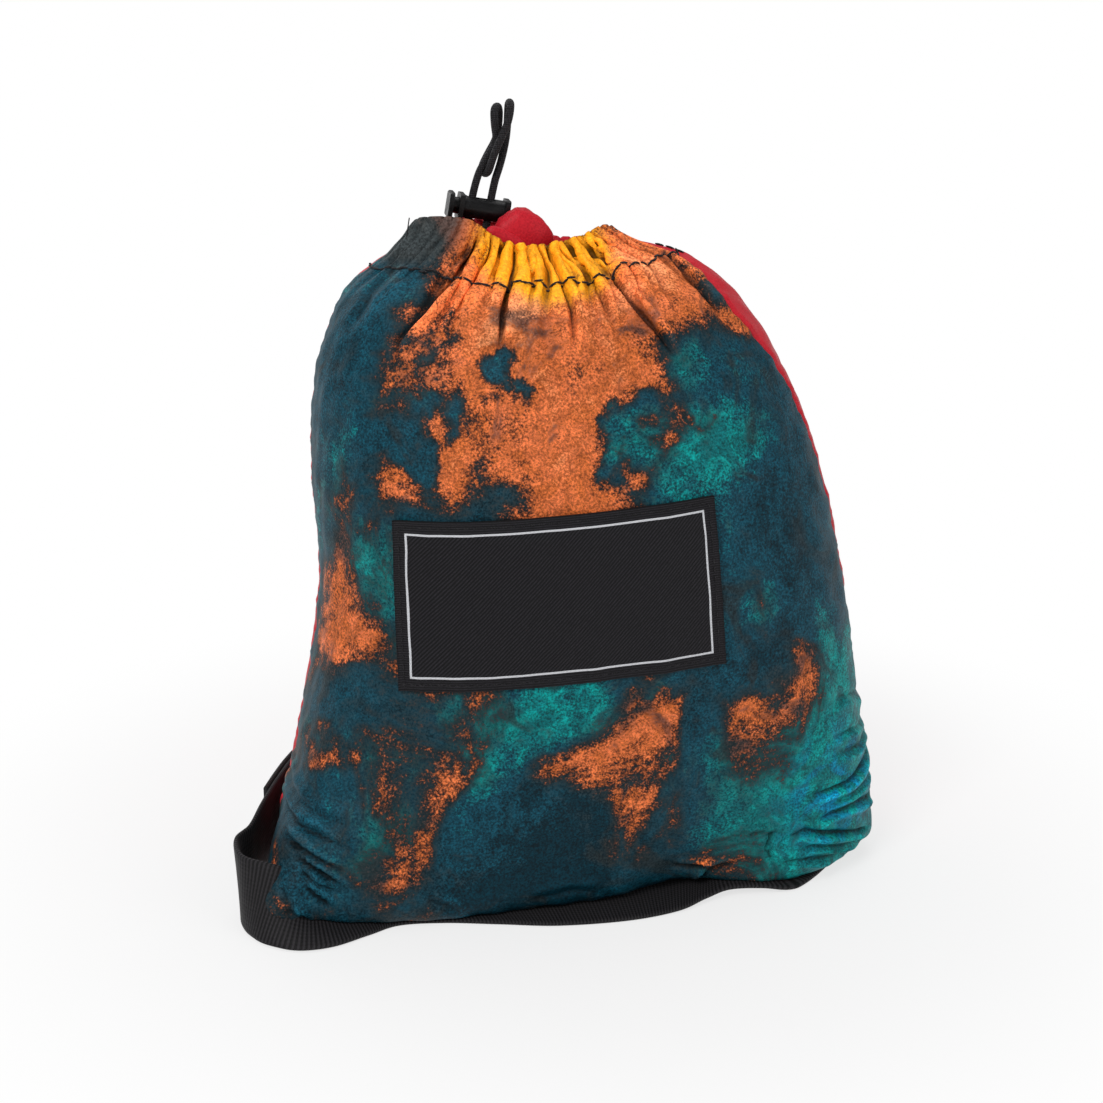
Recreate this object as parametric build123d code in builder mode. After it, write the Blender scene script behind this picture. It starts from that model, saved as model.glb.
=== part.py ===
"""Camping hammock packed in its own drawstring sack, for build123d in builder mode.

The sack stands on its flat base: +Z is up, its printed front faces -Y, and the origin is the
middle of the base. Inside lie the folded hammock, its two gathered ends with their rope loops
and the two carabiners. All sizes are in millimetres.
"""

import math
import os
from dataclasses import dataclass

from build123d import *

os.makedirs("parts", exist_ok=True)

# --- sack ---
sack_width = 166.0
sack_depth = 100.0
sack_height = 172.0
cloth_wall = 0.8
soft_gap = 0.4
seam_lean = -7.0
seam_gap = 0.1

# --- mouth, hem and drawcord ---
mouth_centre_x = -11.0
mouth_width = 48.0
mouth_depth = 19.6
hem_depth = 14.0
cord_diameter = 2.0
cord_slot_gap = 0.3
cord_ring_drop = 5.5
cord_ring_points = 9

# --- cord lock ---
lock_x = -24.4
lock_y = 5.3
lock_height = 5.5
lock_tilt = 10.0
lock_barrel_diameter = 5.8
lock_plate = (6.8, 6.6)
lock_plate_corner = 1.0
lock_flange = 1.2
lock_bore_diameter = 4.4
lock_wall = 0.9
plunger_gap = 0.08
plunger_travel = 1.5
plunger_button = 1.2
plunger_nose = 0.7
strand_offsets = (-1.0, 4.0)
spring_space = 2.2
spring_wire = 0.35
spring_turns = 2.5

# --- label ---
label_width = 84.0
label_height = 44.5
label_thickness = 1.0
label_gap = 0.3
label_centre_x = -11.5
label_centre_z = 88.5
label_lean = 3.8
label_corner = 1.2

# --- carrying strap ---
strap_width = 20.0
strap_thickness = 1.3
strap_gap = 0.4
strap_front_y = -45.0
strap_flat_length = 12.0
strap_bow = 7.5
strap_bow_xs = (-12.0, 8.0)
strap_flat_right = 50.0
strap_end_length = 22.0
strap_end_turn = 50.0
strap_side_gap = 1.6
strap_turn_length = 31.5
strap_lift = 3.2
strap_corner = 50.0
strap_rear_gap = 4.5
strap_sewn_turn = 20.0
strap_sewn_start = 27.0
strap_sewn_length = 42.0
layer_gap = 0.3

# --- strap slider ---
slider_x = -10.0
slider_length = 24.0
slider_bar = 1.8
slider_bar_width = 4.0
slider_rail = 2.6

# --- hammock ends ---
bundle_layer = 28.0
bundle_drop = 22.0
carabiner_xs = (-30.0, 34.0)
carabiner_drop = 46.0
carabiner_length = 84.0
carabiner_width = 46.0
carabiner_rod = 9.0
carabiner_flat = 7.5
gate_wire = 2.4
gate_hole_gap = 0.08
rope_diameter = 5.0
rope_gap = 0.35
rope_hidden = 8.0
sleeve_length = 24.0
sleeve_width = 16.0
sleeve_wall = 1.4
pocket_gap = 0.5

bundle_top = sack_height - bundle_drop
carabiner_z = bundle_top - carabiner_drop
cord_radius = cord_diameter / 2
rod_radius = carabiner_rod / 2
rope_radius = rope_diameter / 2


@dataclass(frozen=True)
class Station:
    """Size of the sack at one height: its outline runs from a rounded box to an ellipse."""

    z: float
    centre_x: float
    half_width: float
    half_depth: float
    squareness: float


def share(z, centre_x, width, depth, squareness):
    """Station from shares of the sack's height, width and depth."""
    return Station(
        z * sack_height, centre_x, width * sack_width / 2, depth * sack_depth / 2, squareness
    )


SACK_STATIONS = (
    share(0.000, 1.5, 0.925, 0.79, 3.6),
    share(0.025, 1.7, 1.000, 0.88, 3.4),
    share(0.095, 2.7, 0.990, 0.91, 3.1),
    share(0.245, 2.8, 0.920, 0.98, 2.7),
    share(0.465, 3.3, 0.855, 1.00, 2.4),
    share(0.650, -1.0, 0.815, 0.93, 2.3),
    share(0.800, -4.7, 0.740, 0.80, 2.2),
    share(0.895, -7.0, 0.645, 0.66, 2.1),
    share(0.950, -9.3, 0.520, 0.43, 2.0),
    Station(sack_height - 4.0, mouth_centre_x + 0.2, mouth_width / 2 + 5, mouth_depth / 2 + 2, 2.0),
    Station(sack_height, mouth_centre_x, mouth_width / 2, mouth_depth / 2, 2.0),
)
BACK_SQUARENESS = 2.5
OUTLINE_POINTS = 20
SLEEVE_SHAPE = ((0, 1.0), (0.36, 0.98), (0.5, 0.78), (0.64, 0.95), (1.0, 0.8))


def offset_stations(distance):
    """Stations of the surface that lies this far outside the sack, or inside it when negative."""
    moved = []
    last = len(SACK_STATIONS) - 1
    for index, here in enumerate(SACK_STATIONS):
        below, above = SACK_STATIONS[max(index - 1, 0)], SACK_STATIONS[min(index + 1, last)]
        rise = above.z - below.z
        spread = (above.half_width + above.half_depth - below.half_width - below.half_depth) / 2
        slope = math.hypot(rise, spread)
        out = distance * rise / slope
        up = -distance * spread / slope if 0 < index < last else 0
        if index == 0:
            up = -distance
        moved.append(
            Station(here.z + up, here.centre_x, here.half_width + out, here.half_depth + out,
                    here.squareness)
        )
    if distance < 0:
        rim = moved[-1]
        moved.append(Station(rim.z + 6, rim.centre_x, rim.half_width, rim.half_depth, 2.0))
    return moved


def sack_form(distance, mode=Mode.ADD):
    """Loft the sack's form, offset by a distance, into the part being built."""
    sections = []
    for station in offset_stations(distance):
        outline = []
        for index in range(OUTLINE_POINTS):
            turn = 2 * math.pi * (index + 0.5) / OUTLINE_POINTS
            c, s = math.cos(turn), math.sin(turn)
            square = station.squareness if s < 0 else min(BACK_SQUARENESS, station.squareness)
            power = 2 / square
            outline.append((
                station.centre_x + station.half_width * math.copysign(abs(c) ** power, c),
                station.half_depth * math.copysign(abs(s) ** power, s),
            ))
        with BuildSketch(Plane.XY.offset(station.z)) as section:
            with BuildLine():
                Spline(*outline, periodic=True)
            make_face()
        sections.append(section.sketch)
    loft(sections=sections, ruled=True, mode=mode)


def half_depth_at(z):
    """Half depth of the sack at a height, between its stations."""
    for low, high in zip(SACK_STATIONS, SACK_STATIONS[1:]):
        if z <= high.z:
            t = (z - low.z) / (high.z - low.z)
            return low.half_depth + t * (high.half_depth - low.half_depth)
    return SACK_STATIONS[-1].half_depth


def save(piece, name):
    """Label a finished piece and write it to its own file."""
    piece.part.label = name
    export_step(piece.part, f"parts/{name}.step")


strap_left_x = (SACK_STATIONS[1].centre_x - SACK_STATIONS[1].half_width - strap_side_gap
                - strap_thickness / 2)
strap_flat_left = strap_left_x + strap_turn_length
ramp_run = 0.95 * strap_width
ramp_rise = 0.53 * strap_width


def strap_route(grow=0.0):
    """Face of the strap where it lies flat below the sack, grown by a clearance."""
    y = strap_front_y + strap_width / 2
    turn = math.radians(strap_end_turn)
    end = (strap_flat_right + strap_end_length * math.cos(turn),
           y + strap_end_length * math.sin(turn))
    bow = [(x, y - strap_bow) for x in strap_bow_xs]
    with BuildLine() as centre:
        Polyline((strap_flat_left - grow, y), (strap_flat_left + strap_flat_length, y), *bow,
                 (strap_flat_right, y), end)
    trace(centre.line, line_width=strap_width + 2 * grow)


def strap_groove(grow, height):
    """Dent that the strap presses into the sack's base, rising where the strap turns up."""
    with BuildSketch(Plane.XY.offset(-1)) as groove:
        strap_route(strap_gap + grow)
    extrude(groove.sketch, amount=height + 1, mode=Mode.SUBTRACT)
    inner_edge = -strap_front_y - strap_width - strap_gap - grow
    with BuildSketch(Plane.XZ.offset(inner_edge)) as ramp:
        with BuildLine():
            Polyline((strap_flat_left, -1), (strap_flat_left, height),
                     (strap_flat_left - ramp_run, height + ramp_rise),
                     (-sack_width, height + ramp_rise), (-sack_width, -1), close=True)
        make_face()
    extrude(ramp.sketch, amount=sack_depth, mode=Mode.SUBTRACT)


# --- sack: the envelope, the room inside it, and the panels between them ---
groove_height = strap_thickness + strap_gap
seam_plane = Plane(origin=(0, -4, 0), z_dir=(math.sin(math.radians(-seam_lean)),
                                             math.cos(math.radians(seam_lean)), 0))

with BuildPart() as sack_envelope:
    sack_form(0)
    strap_groove(0, groove_height)

with BuildPart() as sack_room:
    sack_form(-cloth_wall)
    strap_groove(cloth_wall, groove_height + cloth_wall)

with BuildPart() as sack_shell:
    add(sack_envelope.part)
    add(sack_room.part, mode=Mode.SUBTRACT)

with BuildPart() as sack_front_panel:
    add(sack_shell.part)
    split(bisect_by=seam_plane.offset(-seam_gap / 2), keep=Keep.BOTTOM)
save(sack_front_panel, "sack_front_panel")

with BuildPart() as sack_back_panel:
    add(sack_shell.part)
    split(bisect_by=seam_plane.offset(seam_gap / 2), keep=Keep.TOP)
save(sack_back_panel, "sack_back_panel")

# --- label: a woven patch that follows the front panel ---
with BuildPart() as label_patch:
    sack_form(label_gap + label_thickness)
    sack_form(label_gap, mode=Mode.SUBTRACT)
    with BuildSketch(Plane(origin=(label_centre_x, 0, label_centre_z), x_dir=(1, 0, 0),
                           z_dir=(0, -1, 0))):
        RectangleRounded(label_width - 4, label_height, label_corner, rotation=label_lean)
    extrude(amount=sack_depth, mode=Mode.INTERSECT)
save(label_patch, "label_patch")

# --- hem: the fold inside the mouth that makes the drawcord's channel ---
ring_half_width = mouth_width / 2 - cloth_wall - soft_gap - cord_radius
hem_half_width = ring_half_width - cord_radius - soft_gap
hem_half_depth = lock_y - 0.7
mouth_centre = (mouth_centre_x, 0)
lean = math.tan(math.radians(lock_tilt))
lock_z = sack_height + lock_height
lock_axis = Vector(math.cos(math.radians(lock_tilt)), 0, -math.sin(math.radians(lock_tilt)))
lock_slide = Vector(math.sin(math.radians(lock_tilt)), 0, math.cos(math.radians(lock_tilt)))
lock_centre = Vector(lock_x, lock_y, lock_z)


def strand_at(offset, z):
    """Point on a cord strand that runs straight through the lock, at a height."""
    base = lock_centre + lock_axis * offset
    return Vector(base.X + (z - base.Z) * lean, base.Y, z)


with BuildPart() as hem_channel:
    with BuildSketch(Plane.XY.offset(sack_height - hem_depth)):
        with Locations(mouth_centre):
            Ellipse(hem_half_width, hem_half_depth)
            Ellipse(hem_half_width - cloth_wall, hem_half_depth - cloth_wall, mode=Mode.SUBTRACT)
    extrude(amount=hem_depth)
    with BuildSketch(Plane.XY.offset(sack_height - cloth_wall)):
        with Locations(mouth_centre):
            Ellipse(mouth_width / 2 - cloth_wall - soft_gap, mouth_depth / 2 - cloth_wall - soft_gap)
            Ellipse(hem_half_width - cloth_wall, hem_half_depth - cloth_wall, mode=Mode.SUBTRACT)
        with Locations([(strand_at(offset, sack_height).X, lock_y) for offset in strand_offsets]):
            Circle(cord_radius + cord_slot_gap, mode=Mode.SUBTRACT)
    extrude(amount=cloth_wall)
save(hem_channel, "hem_channel")


def route_radii(points, longest=math.inf):
    """Bend radius for each corner of a route: as large as its two runs allow."""
    radii = []
    for before, here, after in zip(points, points[1:], points[2:]):
        run_in, run_out = Vector(*here) - Vector(*before), Vector(*after) - Vector(*here)
        half_turn = math.radians(run_in.get_angle(run_out) / 2)
        radii.append(min(longest, 0.45 * min(run_in.length, run_out.length) / math.tan(half_turn)))
    return radii


def tube(points, radius, longest=math.inf):
    """Round tube along straight runs joined by tangent arcs; returns the length of its middle."""
    with BuildLine() as route:
        FilletPolyline(*points, radius=route_radii(points, longest))
    start = Vector(*points[0])
    direction = Vector(*points[1]) - start
    with BuildSketch(Plane(origin=start, z_dir=direction)) as section:
        Circle(radius)
    sweep(section.sketch, path=route.wires()[0])
    return route.wires()[0].length


# --- drawcord: the ring held in the hem, and the free loop above it ---
cord_exit_z = sack_height + 0.2
ring_z = sack_height - cord_ring_drop
ring_half_depth = hem_half_depth + soft_gap + cord_radius
ring_start, ring_stop = 165.0, 455.0
ring_step = (ring_stop - ring_start) / (cord_ring_points - 1)
ring_grow = 1 / math.cos(math.radians(ring_step / 2))
ring_route = [strand_at(strand_offsets[0], cord_exit_z),
              strand_at(strand_offsets[0], ring_z)]
for index in range(cord_ring_points):
    turn = math.radians(ring_start + ring_step * index)
    ring_route.append((mouth_centre_x + ring_grow * ring_half_width * math.cos(turn),
                       ring_grow * ring_half_depth * math.sin(turn), ring_z))
ring_route += [strand_at(strand_offsets[1], ring_z),
               strand_at(strand_offsets[1], cord_exit_z)]

with BuildPart() as channel_drawcord:
    ring_length = tube(ring_route, cord_radius)
save(channel_drawcord, "channel_drawcord")

loop_route = [
    strand_at(strand_offsets[0], cord_exit_z),
    strand_at(strand_offsets[0], 184.5),
    (-20.6, 5.4, 190.5),
    (-18.2, 5.3, 194.6),
    (-19.0, 4.1, 198.6),
    (-19.2, 3.7, 203.0),
    (-17.2, 7.7, 203.0),
    (-17.3, 7.8, 198.6),
    (-18.0, 7.7, 194.6),
    (-20.4, 8.4, 190.4),
    (-22.1, 9.0, 186.6),
    (-20.9, 4.2, 185.8),
    (-19.6, 3.0, 190.6),
    (-17.9, 2.9, 194.6),
    (-15.6, 2.9, 199.2),
    (-14.8, 3.1, 204.0),
    (-14.9, 7.6, 204.0),
    (-15.1, 7.4, 199.2),
    (-15.7, 6.5, 194.4),
    (-17.4, 5.5, 188.2),
    strand_at(strand_offsets[1], 183.2),
    strand_at(strand_offsets[1], cord_exit_z),
]
with BuildPart() as drawcord_loop:
    loop_length = tube(loop_route, cord_radius)
save(drawcord_loop, "drawcord_loop")
print("drawcord loop radii", [round(r, 1) for r in route_radii(loop_route)])
for name, cord, length in (("ring", channel_drawcord, ring_length), ("loop", drawcord_loop, loop_length)):
    section = math.pi * cord_radius**2
    print(f"drawcord {name} {length:.1f} mm long, volume {cord.part.volume:.1f}, "
          f"section x length {section * length:.1f}")
print("loop route", [tuple(round(v, 2) for v in point) for point in loop_route])

# --- cord lock: a barrel with a cross slot, a sprung plunger and its spring ---
slot_start = strand_offsets[0] - cord_radius - 0.2
slot_stop = strand_offsets[1] + cord_radius + 0.2
plunger_slot_start = slot_start - plunger_travel
body_start = plunger_slot_start - 0.5
rod_stop = slot_stop + plunger_nose
bore_stop = rod_stop + spring_space
body_stop = bore_stop + lock_wall
slot_width = cord_diameter + 2 * cord_slot_gap
lock_plane = Plane(origin=lock_centre, x_dir=(0, 1, 0), z_dir=lock_axis)
slot_plane = Plane(origin=lock_centre, x_dir=lock_axis, z_dir=lock_slide)


def lock_slot(start, stop):
    """Cross slot that the two strands pass through, cut along the cord."""
    with BuildSketch(slot_plane) as slot:
        with Locations(((start + stop) / 2, 0)):
            Rectangle(stop - start, slot_width)
    extrude(slot.sketch, amount=lock_plate[0], both=True, mode=Mode.SUBTRACT)


with BuildPart() as cord_lock_body:
    with BuildSketch(lock_plane.offset(body_start)):
        Circle(lock_barrel_diameter / 2)
    extrude(amount=body_stop - body_start)
    for start in (body_start, body_stop - lock_flange):
        with BuildSketch(lock_plane.offset(start)):
            RectangleRounded(*lock_plate, lock_plate_corner)
        extrude(amount=lock_flange)
    with BuildSketch(lock_plane.offset(body_start)):
        Circle(lock_bore_diameter / 2)
    extrude(amount=bore_stop - body_start, mode=Mode.SUBTRACT)
    lock_slot(slot_start, slot_stop)
save(cord_lock_body, "cord_lock_body")

with BuildPart() as cord_lock_plunger:
    button_start = body_start - plunger_travel - plunger_button
    with BuildSketch(lock_plane.offset(button_start)):
        RectangleRounded(*lock_plate, lock_plate_corner)
    extrude(amount=plunger_button)
    chamfer(cord_lock_plunger.faces().sort_by(Axis(lock_centre, lock_axis))[0].edges(), 0.3)
    with BuildSketch(lock_plane.offset(button_start + plunger_button / 2)):
        Circle(lock_bore_diameter / 2 - plunger_gap)
    extrude(amount=rod_stop - button_start - plunger_button / 2)
    lock_slot(plunger_slot_start, slot_stop)
save(cord_lock_plunger, "cord_lock_plunger")

spring_radius = lock_bore_diameter / 2 - spring_wire / 2 - 0.2
spring_height = spring_space - 2 * plunger_gap - spring_wire
with BuildPart() as cord_lock_spring:
    with BuildLine() as coil:
        Helix(pitch=spring_height / spring_turns, height=spring_height, radius=spring_radius,
              center=lock_centre + lock_axis * (rod_stop + plunger_gap + spring_wire / 2),
              direction=lock_axis)
    with BuildSketch(Plane(origin=coil.line @ 0, z_dir=coil.line % 0)):
        Circle(spring_wire / 2)
    sweep(path=coil.line)
save(cord_lock_spring, "cord_lock_spring")

# --- carrying strap: flat below the front, turned on edge round the left, straight behind ---
strap_rear_y = half_depth_at(strap_lift + strap_width) + strap_rear_gap


def webbing_section(x, y, heading, roll, lift):
    """Cross-section of the webbing: its lower edge stands at x, y; roll 0 lies flat."""
    h, r = math.radians(heading), math.radians(roll)
    tangent = Vector(math.cos(h), math.sin(h), 0)
    across = Vector(math.sin(h) * math.cos(r), -math.cos(h) * math.cos(r), math.sin(r))
    normal = tangent.cross(across)
    if normal.Z < 0:
        normal = -normal
    low = Vector(x, y, lift + strap_thickness / 2 * abs(math.cos(r)))
    middle = low + across * (strap_width / 2)
    with BuildSketch(Plane(origin=middle, x_dir=across, z_dir=tangent)) as section:
        Rectangle(strap_width, strap_thickness)
    return section.sketch


def rear_route(out):
    """Middle line of the webbing from the left side round to its sewn end, moved outward."""
    left, rear, corner = strap_left_x - out, strap_rear_y + out, strap_corner + out
    turn = math.radians(strap_sewn_turn)
    end = (strap_sewn_start + strap_sewn_length * math.cos(turn),
           rear - strap_sewn_length * math.sin(turn))
    return (left, rear, corner, end)


left_twist = (
    (21.0, -47.8, 194, 24, 0.0),
    (11.0, -53.0, 196, 52, 0.0),
    (0.5, -53.8, 166, 80, 0.0),
    (-7.0, -46.6, 120, 94, 0.0),
    (-8.2, -35.0, 88, 97, 0.4),
    (-4.6, -20.0, 74, 93, 1.8),
)
twist_end_y = -6.0
with BuildPart() as strap_webbing:
    with BuildSketch(Plane.XY):
        strap_route()
    extrude(amount=strap_thickness)
    loft(sections=[
        webbing_section(strap_flat_left, strap_front_y, 180, 0, 0.0),
        *[webbing_section(strap_left_x + x, y, *rest) for x, y, *rest in left_twist],
        webbing_section(strap_left_x, twist_end_y, 90, 90, strap_lift),
    ], ruled=True)
    left, rear, corner, end = rear_route(0)
    with BuildSketch(Plane.XY.offset(strap_lift)):
        with BuildLine() as rear_line:
            FilletPolyline((left, twist_end_y), (left, rear), (strap_sewn_start, rear), end,
                           radius=(corner, 12))
        trace(rear_line.line, line_width=strap_thickness)
    extrude(amount=strap_width)
save(strap_webbing, "strap_webbing")

layer = strap_thickness + layer_gap
with BuildPart() as strap_tail:
    left, rear, corner, end = rear_route(layer)
    with BuildSketch(Plane.XY.offset(strap_lift)):
        with BuildLine() as tail_line:
            FilletPolyline((left, twist_end_y + 2), (left, rear),
                           (strap_sewn_start - 4, rear), radius=corner)
        trace(tail_line.line, line_width=strap_thickness)
    extrude(amount=strap_width)
save(strap_tail, "strap_tail")

# --- strap slider: two rails, two bars outside both layers and one bar inside them ---
slider_height = strap_width + 2 * (strap_gap + slider_rail)
slider_z = strap_lift + strap_width / 2
inner_face = strap_rear_y - strap_thickness / 2 - layer_gap
outer_face = strap_rear_y + strap_thickness / 2 + layer + layer_gap
with BuildPart() as strap_slider:
    with BuildSketch(Plane.XZ.offset(-(inner_face - slider_bar))):
        with Locations((slider_x, slider_z)):
            RectangleRounded(slider_length, slider_height, 2.5)
            Rectangle(slider_length + 1, slider_height - 2 * slider_rail, mode=Mode.SUBTRACT)
    extrude(amount=-(outer_face - inner_face + 2 * slider_bar))
    with BuildSketch(Plane.XZ.offset(-(inner_face - slider_bar))):
        with Locations((slider_x, slider_z)):
            Rectangle(slider_bar_width + 1, slider_height - slider_rail)
    extrude(amount=-slider_bar)
    bar_shift = (slider_length - slider_bar_width) / 2
    with BuildSketch(Plane.XZ.offset(-outer_face)):
        with Locations((slider_x - bar_shift, slider_z), (slider_x + bar_shift, slider_z)):
            Rectangle(slider_bar_width, slider_height - slider_rail)
    extrude(amount=-slider_bar)
    fillet(strap_slider.edges().filter_by(Axis.Z).group_by(SortBy.LENGTH)[-1], 0.5)
save(strap_slider, "strap_slider")

# --- carabiners: forged D frames with wire gates ---
half_w, half_l = carabiner_width / 2 - rod_radius, carabiner_length / 2 - rod_radius
gate_x = half_w - 2.5
pivot_z = -half_l + 15.5
nose_z = half_l - 17.0
leg_y = carabiner_flat / 2 + gate_wire / 2 + 0.35
leg_top_x, leg_top_z = half_w - 2.2, nose_z - 4.5


def carabiner_frame(side):
    """Frame of one carabiner; side +1 puts its gate towards +X, -1 towards -X."""
    points = [(gate_x + 1.5, nose_z), (half_w + 0.5, half_l - 4), (-half_w + 2, half_l),
              (-half_w, -half_l + 8), (-half_w + 9, -half_l), (gate_x - 4, -half_l),
              (gate_x, pivot_z + 3.5)]
    route = [(side * x, 0, z) for x, z in points]
    with BuildLine() as line:
        FilletPolyline(*route, radius=[min(12.0, r) for r in route_radii(route)])
    start = Vector(*route[0])
    along = Vector(*route[1]) - start
    with BuildSketch(Plane(origin=start, x_dir=(0, 1, 0), z_dir=along)) as section:
        Ellipse(carabiner_flat / 2, rod_radius)
    sweep(section.sketch, path=line.wires()[0])
    with BuildSketch(Plane.XZ) as lip:
        with Locations((side * (leg_top_x + gate_wire / 2 + 1.8), nose_z - 2.5)):
            RectangleRounded(3.0, 10.0, 1.2)
    extrude(lip.sketch, amount=leg_y - gate_wire / 2 - 0.5, both=True)
    with BuildSketch(Plane.XZ) as pivot:
        with Locations((side * gate_x, pivot_z)):
            Circle(gate_wire / 2 + gate_hole_gap)
    extrude(pivot.sketch, amount=carabiner_flat, both=True, mode=Mode.SUBTRACT)


def carabiner_gate(side):
    """Bent wire gate: two legs beside the frame, hooked into the pivot hole at their ends."""
    x, top = side * gate_x, side * leg_top_x
    route = [(x, 0.7, pivot_z), (x, leg_y, pivot_z), (top, leg_y, leg_top_z),
             (top, -leg_y, leg_top_z), (x, -leg_y, pivot_z), (x, -0.7, pivot_z)]
    with BuildLine() as line:
        FilletPolyline(*route, radius=[1.8, 3.2, 3.2, 1.8])
    with BuildSketch(Plane(origin=route[0], z_dir=(0, 1, 0))) as section:
        Circle(gate_wire / 2)
    sweep(section.sketch, path=line.wires()[0])


def rope_loop():
    """Rope loop over the carabiner's basket, both legs running down into the sleeve."""
    leg = carabiner_flat / 2 + rope_radius + rope_gap
    top = -half_l + rod_radius + rope_radius + rope_gap
    bottom = -half_l - rod_radius - 3.5 - rope_hidden
    with BuildLine() as line:
        FilletPolyline((0, -leg, bottom), (0, -leg, top), (0, leg, top), (0, leg, bottom),
                       radius=leg * 0.98)
    with BuildSketch(Plane.XY.offset(bottom)) as section:
        with Locations((0, -leg)):
            Circle(rope_radius)
    sweep(section.sketch, path=line.wires()[0])
    return leg, bottom


def end_sleeve(leg, bottom):
    """Gathered end of the hammock, whipped tight round the rope's two legs."""
    top = bottom + rope_hidden
    half_depth = leg + rope_radius + rope_gap + sleeve_wall
    sections = []
    for z, size in SLEEVE_SHAPE:
        with BuildSketch(Plane.XY.offset(top - z * sleeve_length)) as section:
            Ellipse(sleeve_width / 2 * size, half_depth * size)
        sections.append(section.sketch)
    loft(sections=sections, ruled=True)
    with BuildSketch(Plane.XY.offset(bottom - rope_gap)) as holes:
        with Locations((0, -leg), (0, leg)):
            Circle(rope_radius + rope_gap)
    extrude(holes.sketch, amount=rope_hidden + rope_gap + 1, mode=Mode.SUBTRACT)
    return top, half_depth


sides = (-1, 1)
letters = ("a", "b")
for letter, side, x in zip(letters, sides, carabiner_xs):
    place = Location((x, 0, carabiner_z))
    with BuildPart() as carabiner_frame_part:
        carabiner_frame(side)
    with BuildPart() as placed_frame:
        add(carabiner_frame_part.part.moved(place))
    save(placed_frame, f"carabiner_frame_{letter}")
    with BuildPart() as carabiner_gate_part:
        carabiner_gate(side)
    with BuildPart() as placed_gate:
        add(carabiner_gate_part.part.moved(place))
    save(placed_gate, f"carabiner_gate_{letter}")
    with BuildPart() as rope_part:
        rope_leg, rope_bottom = rope_loop()
    with BuildPart() as placed_rope:
        add(rope_part.part.moved(place))
    save(placed_rope, f"end_rope_{letter}")
    with BuildPart() as sleeve_part:
        sleeve_top, sleeve_half_depth = end_sleeve(rope_leg, rope_bottom)
    with BuildPart() as placed_sleeve:
        add(sleeve_part.part.moved(place))
    save(placed_sleeve, f"end_sleeve_{letter}")

# --- folded hammock: the printed middle round the hardware, a plain side panel on each face ---
layer_y = bundle_layer / 2
fold_z = bundle_top + soft_gap
hem_bottom = sack_height - hem_depth - soft_gap
puff_x = mouth_centre_x - 0.5
puff = (
    (-hem_depth - 3, 7.0, 2.4, -0.9),
    (-8.0, 6.8, 2.4, -0.9),
    (0.5, 6.6, 2.5, -1.1),
    (3.0, 6.4, 2.8, -1.8),
    (6.0, 3.2, 1.6, -1.7),
)


def pocket(x, low, high, width, depth):
    """Room kept in the folded cloth for a piece of the hardware, between two heights."""
    with BuildSketch(Plane.XZ) as hollow:
        with Locations((x, (low + high) / 2)):
            Rectangle(width + 2 * pocket_gap, high - low + 2 * pocket_gap)
    extrude(hollow.sketch, amount=depth / 2 + pocket_gap, both=True, mode=Mode.SUBTRACT)


with BuildPart() as bundle:
    sack_form(-cloth_wall - soft_gap)
    strap_groove(cloth_wall + soft_gap, groove_height + cloth_wall + soft_gap)
    with BuildSketch(Plane.XY.offset(hem_bottom)):
        Rectangle(2 * sack_width, 2 * sack_depth)
    extrude(amount=sack_height, mode=Mode.SUBTRACT)

with BuildPart() as hammock_centre_panel:
    with BuildSketch(Plane.XZ):
        with Locations((0, bundle_top / 2)):
            Rectangle(2 * sack_width, bundle_top)
    extrude(amount=layer_y, both=True)
    add(bundle.part, mode=Mode.INTERSECT)
    for x in carabiner_xs:
        pocket(x, carabiner_z - carabiner_length / 2, carabiner_z + carabiner_length / 2,
               carabiner_width, 2 * leg_y + gate_wire)
        pocket(x, carabiner_z + sleeve_top, carabiner_z - half_l + rod_radius + rope_diameter + rope_gap,
               rope_diameter, 2 * rope_leg + rope_diameter)
        pocket(x, carabiner_z + sleeve_top - sleeve_length, carabiner_z + sleeve_top,
               sleeve_width, 2 * sleeve_half_depth)
save(hammock_centre_panel, "hammock_centre_panel")

for name, keep, depth in (("front", Keep.TOP, layer_y), ("back", Keep.BOTTOM, -layer_y)):
    with BuildPart() as side_panel:
        add(bundle.part)
        split(bisect_by=Plane.XZ.offset(depth + math.copysign(soft_gap, depth)), keep=keep)
        with BuildSketch(Plane.XY.offset(bundle_top)):
            Rectangle(2 * sack_width, 2 * sack_depth)
        extrude(amount=sack_height, mode=Mode.SUBTRACT)
    save(side_panel, f"hammock_side_panel_{name}")

with BuildPart() as hammock_top_fold:
    add(bundle.part)
    with BuildSketch():
        Rectangle(2 * sack_width, 2 * sack_depth)
    extrude(amount=fold_z, mode=Mode.SUBTRACT)
    for rise, half_length, half_width, y in puff:
        with BuildSketch(Plane.XY.offset(sack_height + rise)):
            with Locations((puff_x, y)):
                Ellipse(half_length, half_width)
    loft(ruled=True)
save(hammock_top_fold, "hammock_top_fold")
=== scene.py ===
"""Looks of a camping hammock packed in its attached drawstring sack.

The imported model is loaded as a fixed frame, and each soft piece of it is rebuilt here as cloth,
webbing or cord. Sizes in this file are in millimetres, and become metres where a mesh is made,
but the studio's places are in metres. +Z is up, and the printed front with its label faces -Y.
"""

from __future__ import annotations

import logging
import math
from dataclasses import dataclass
from enum import Enum
from typing import Sequence, Union

import bmesh
import bpy
import numpy as np
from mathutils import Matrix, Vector
from mathutils.bvhtree import BVHTree

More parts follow.
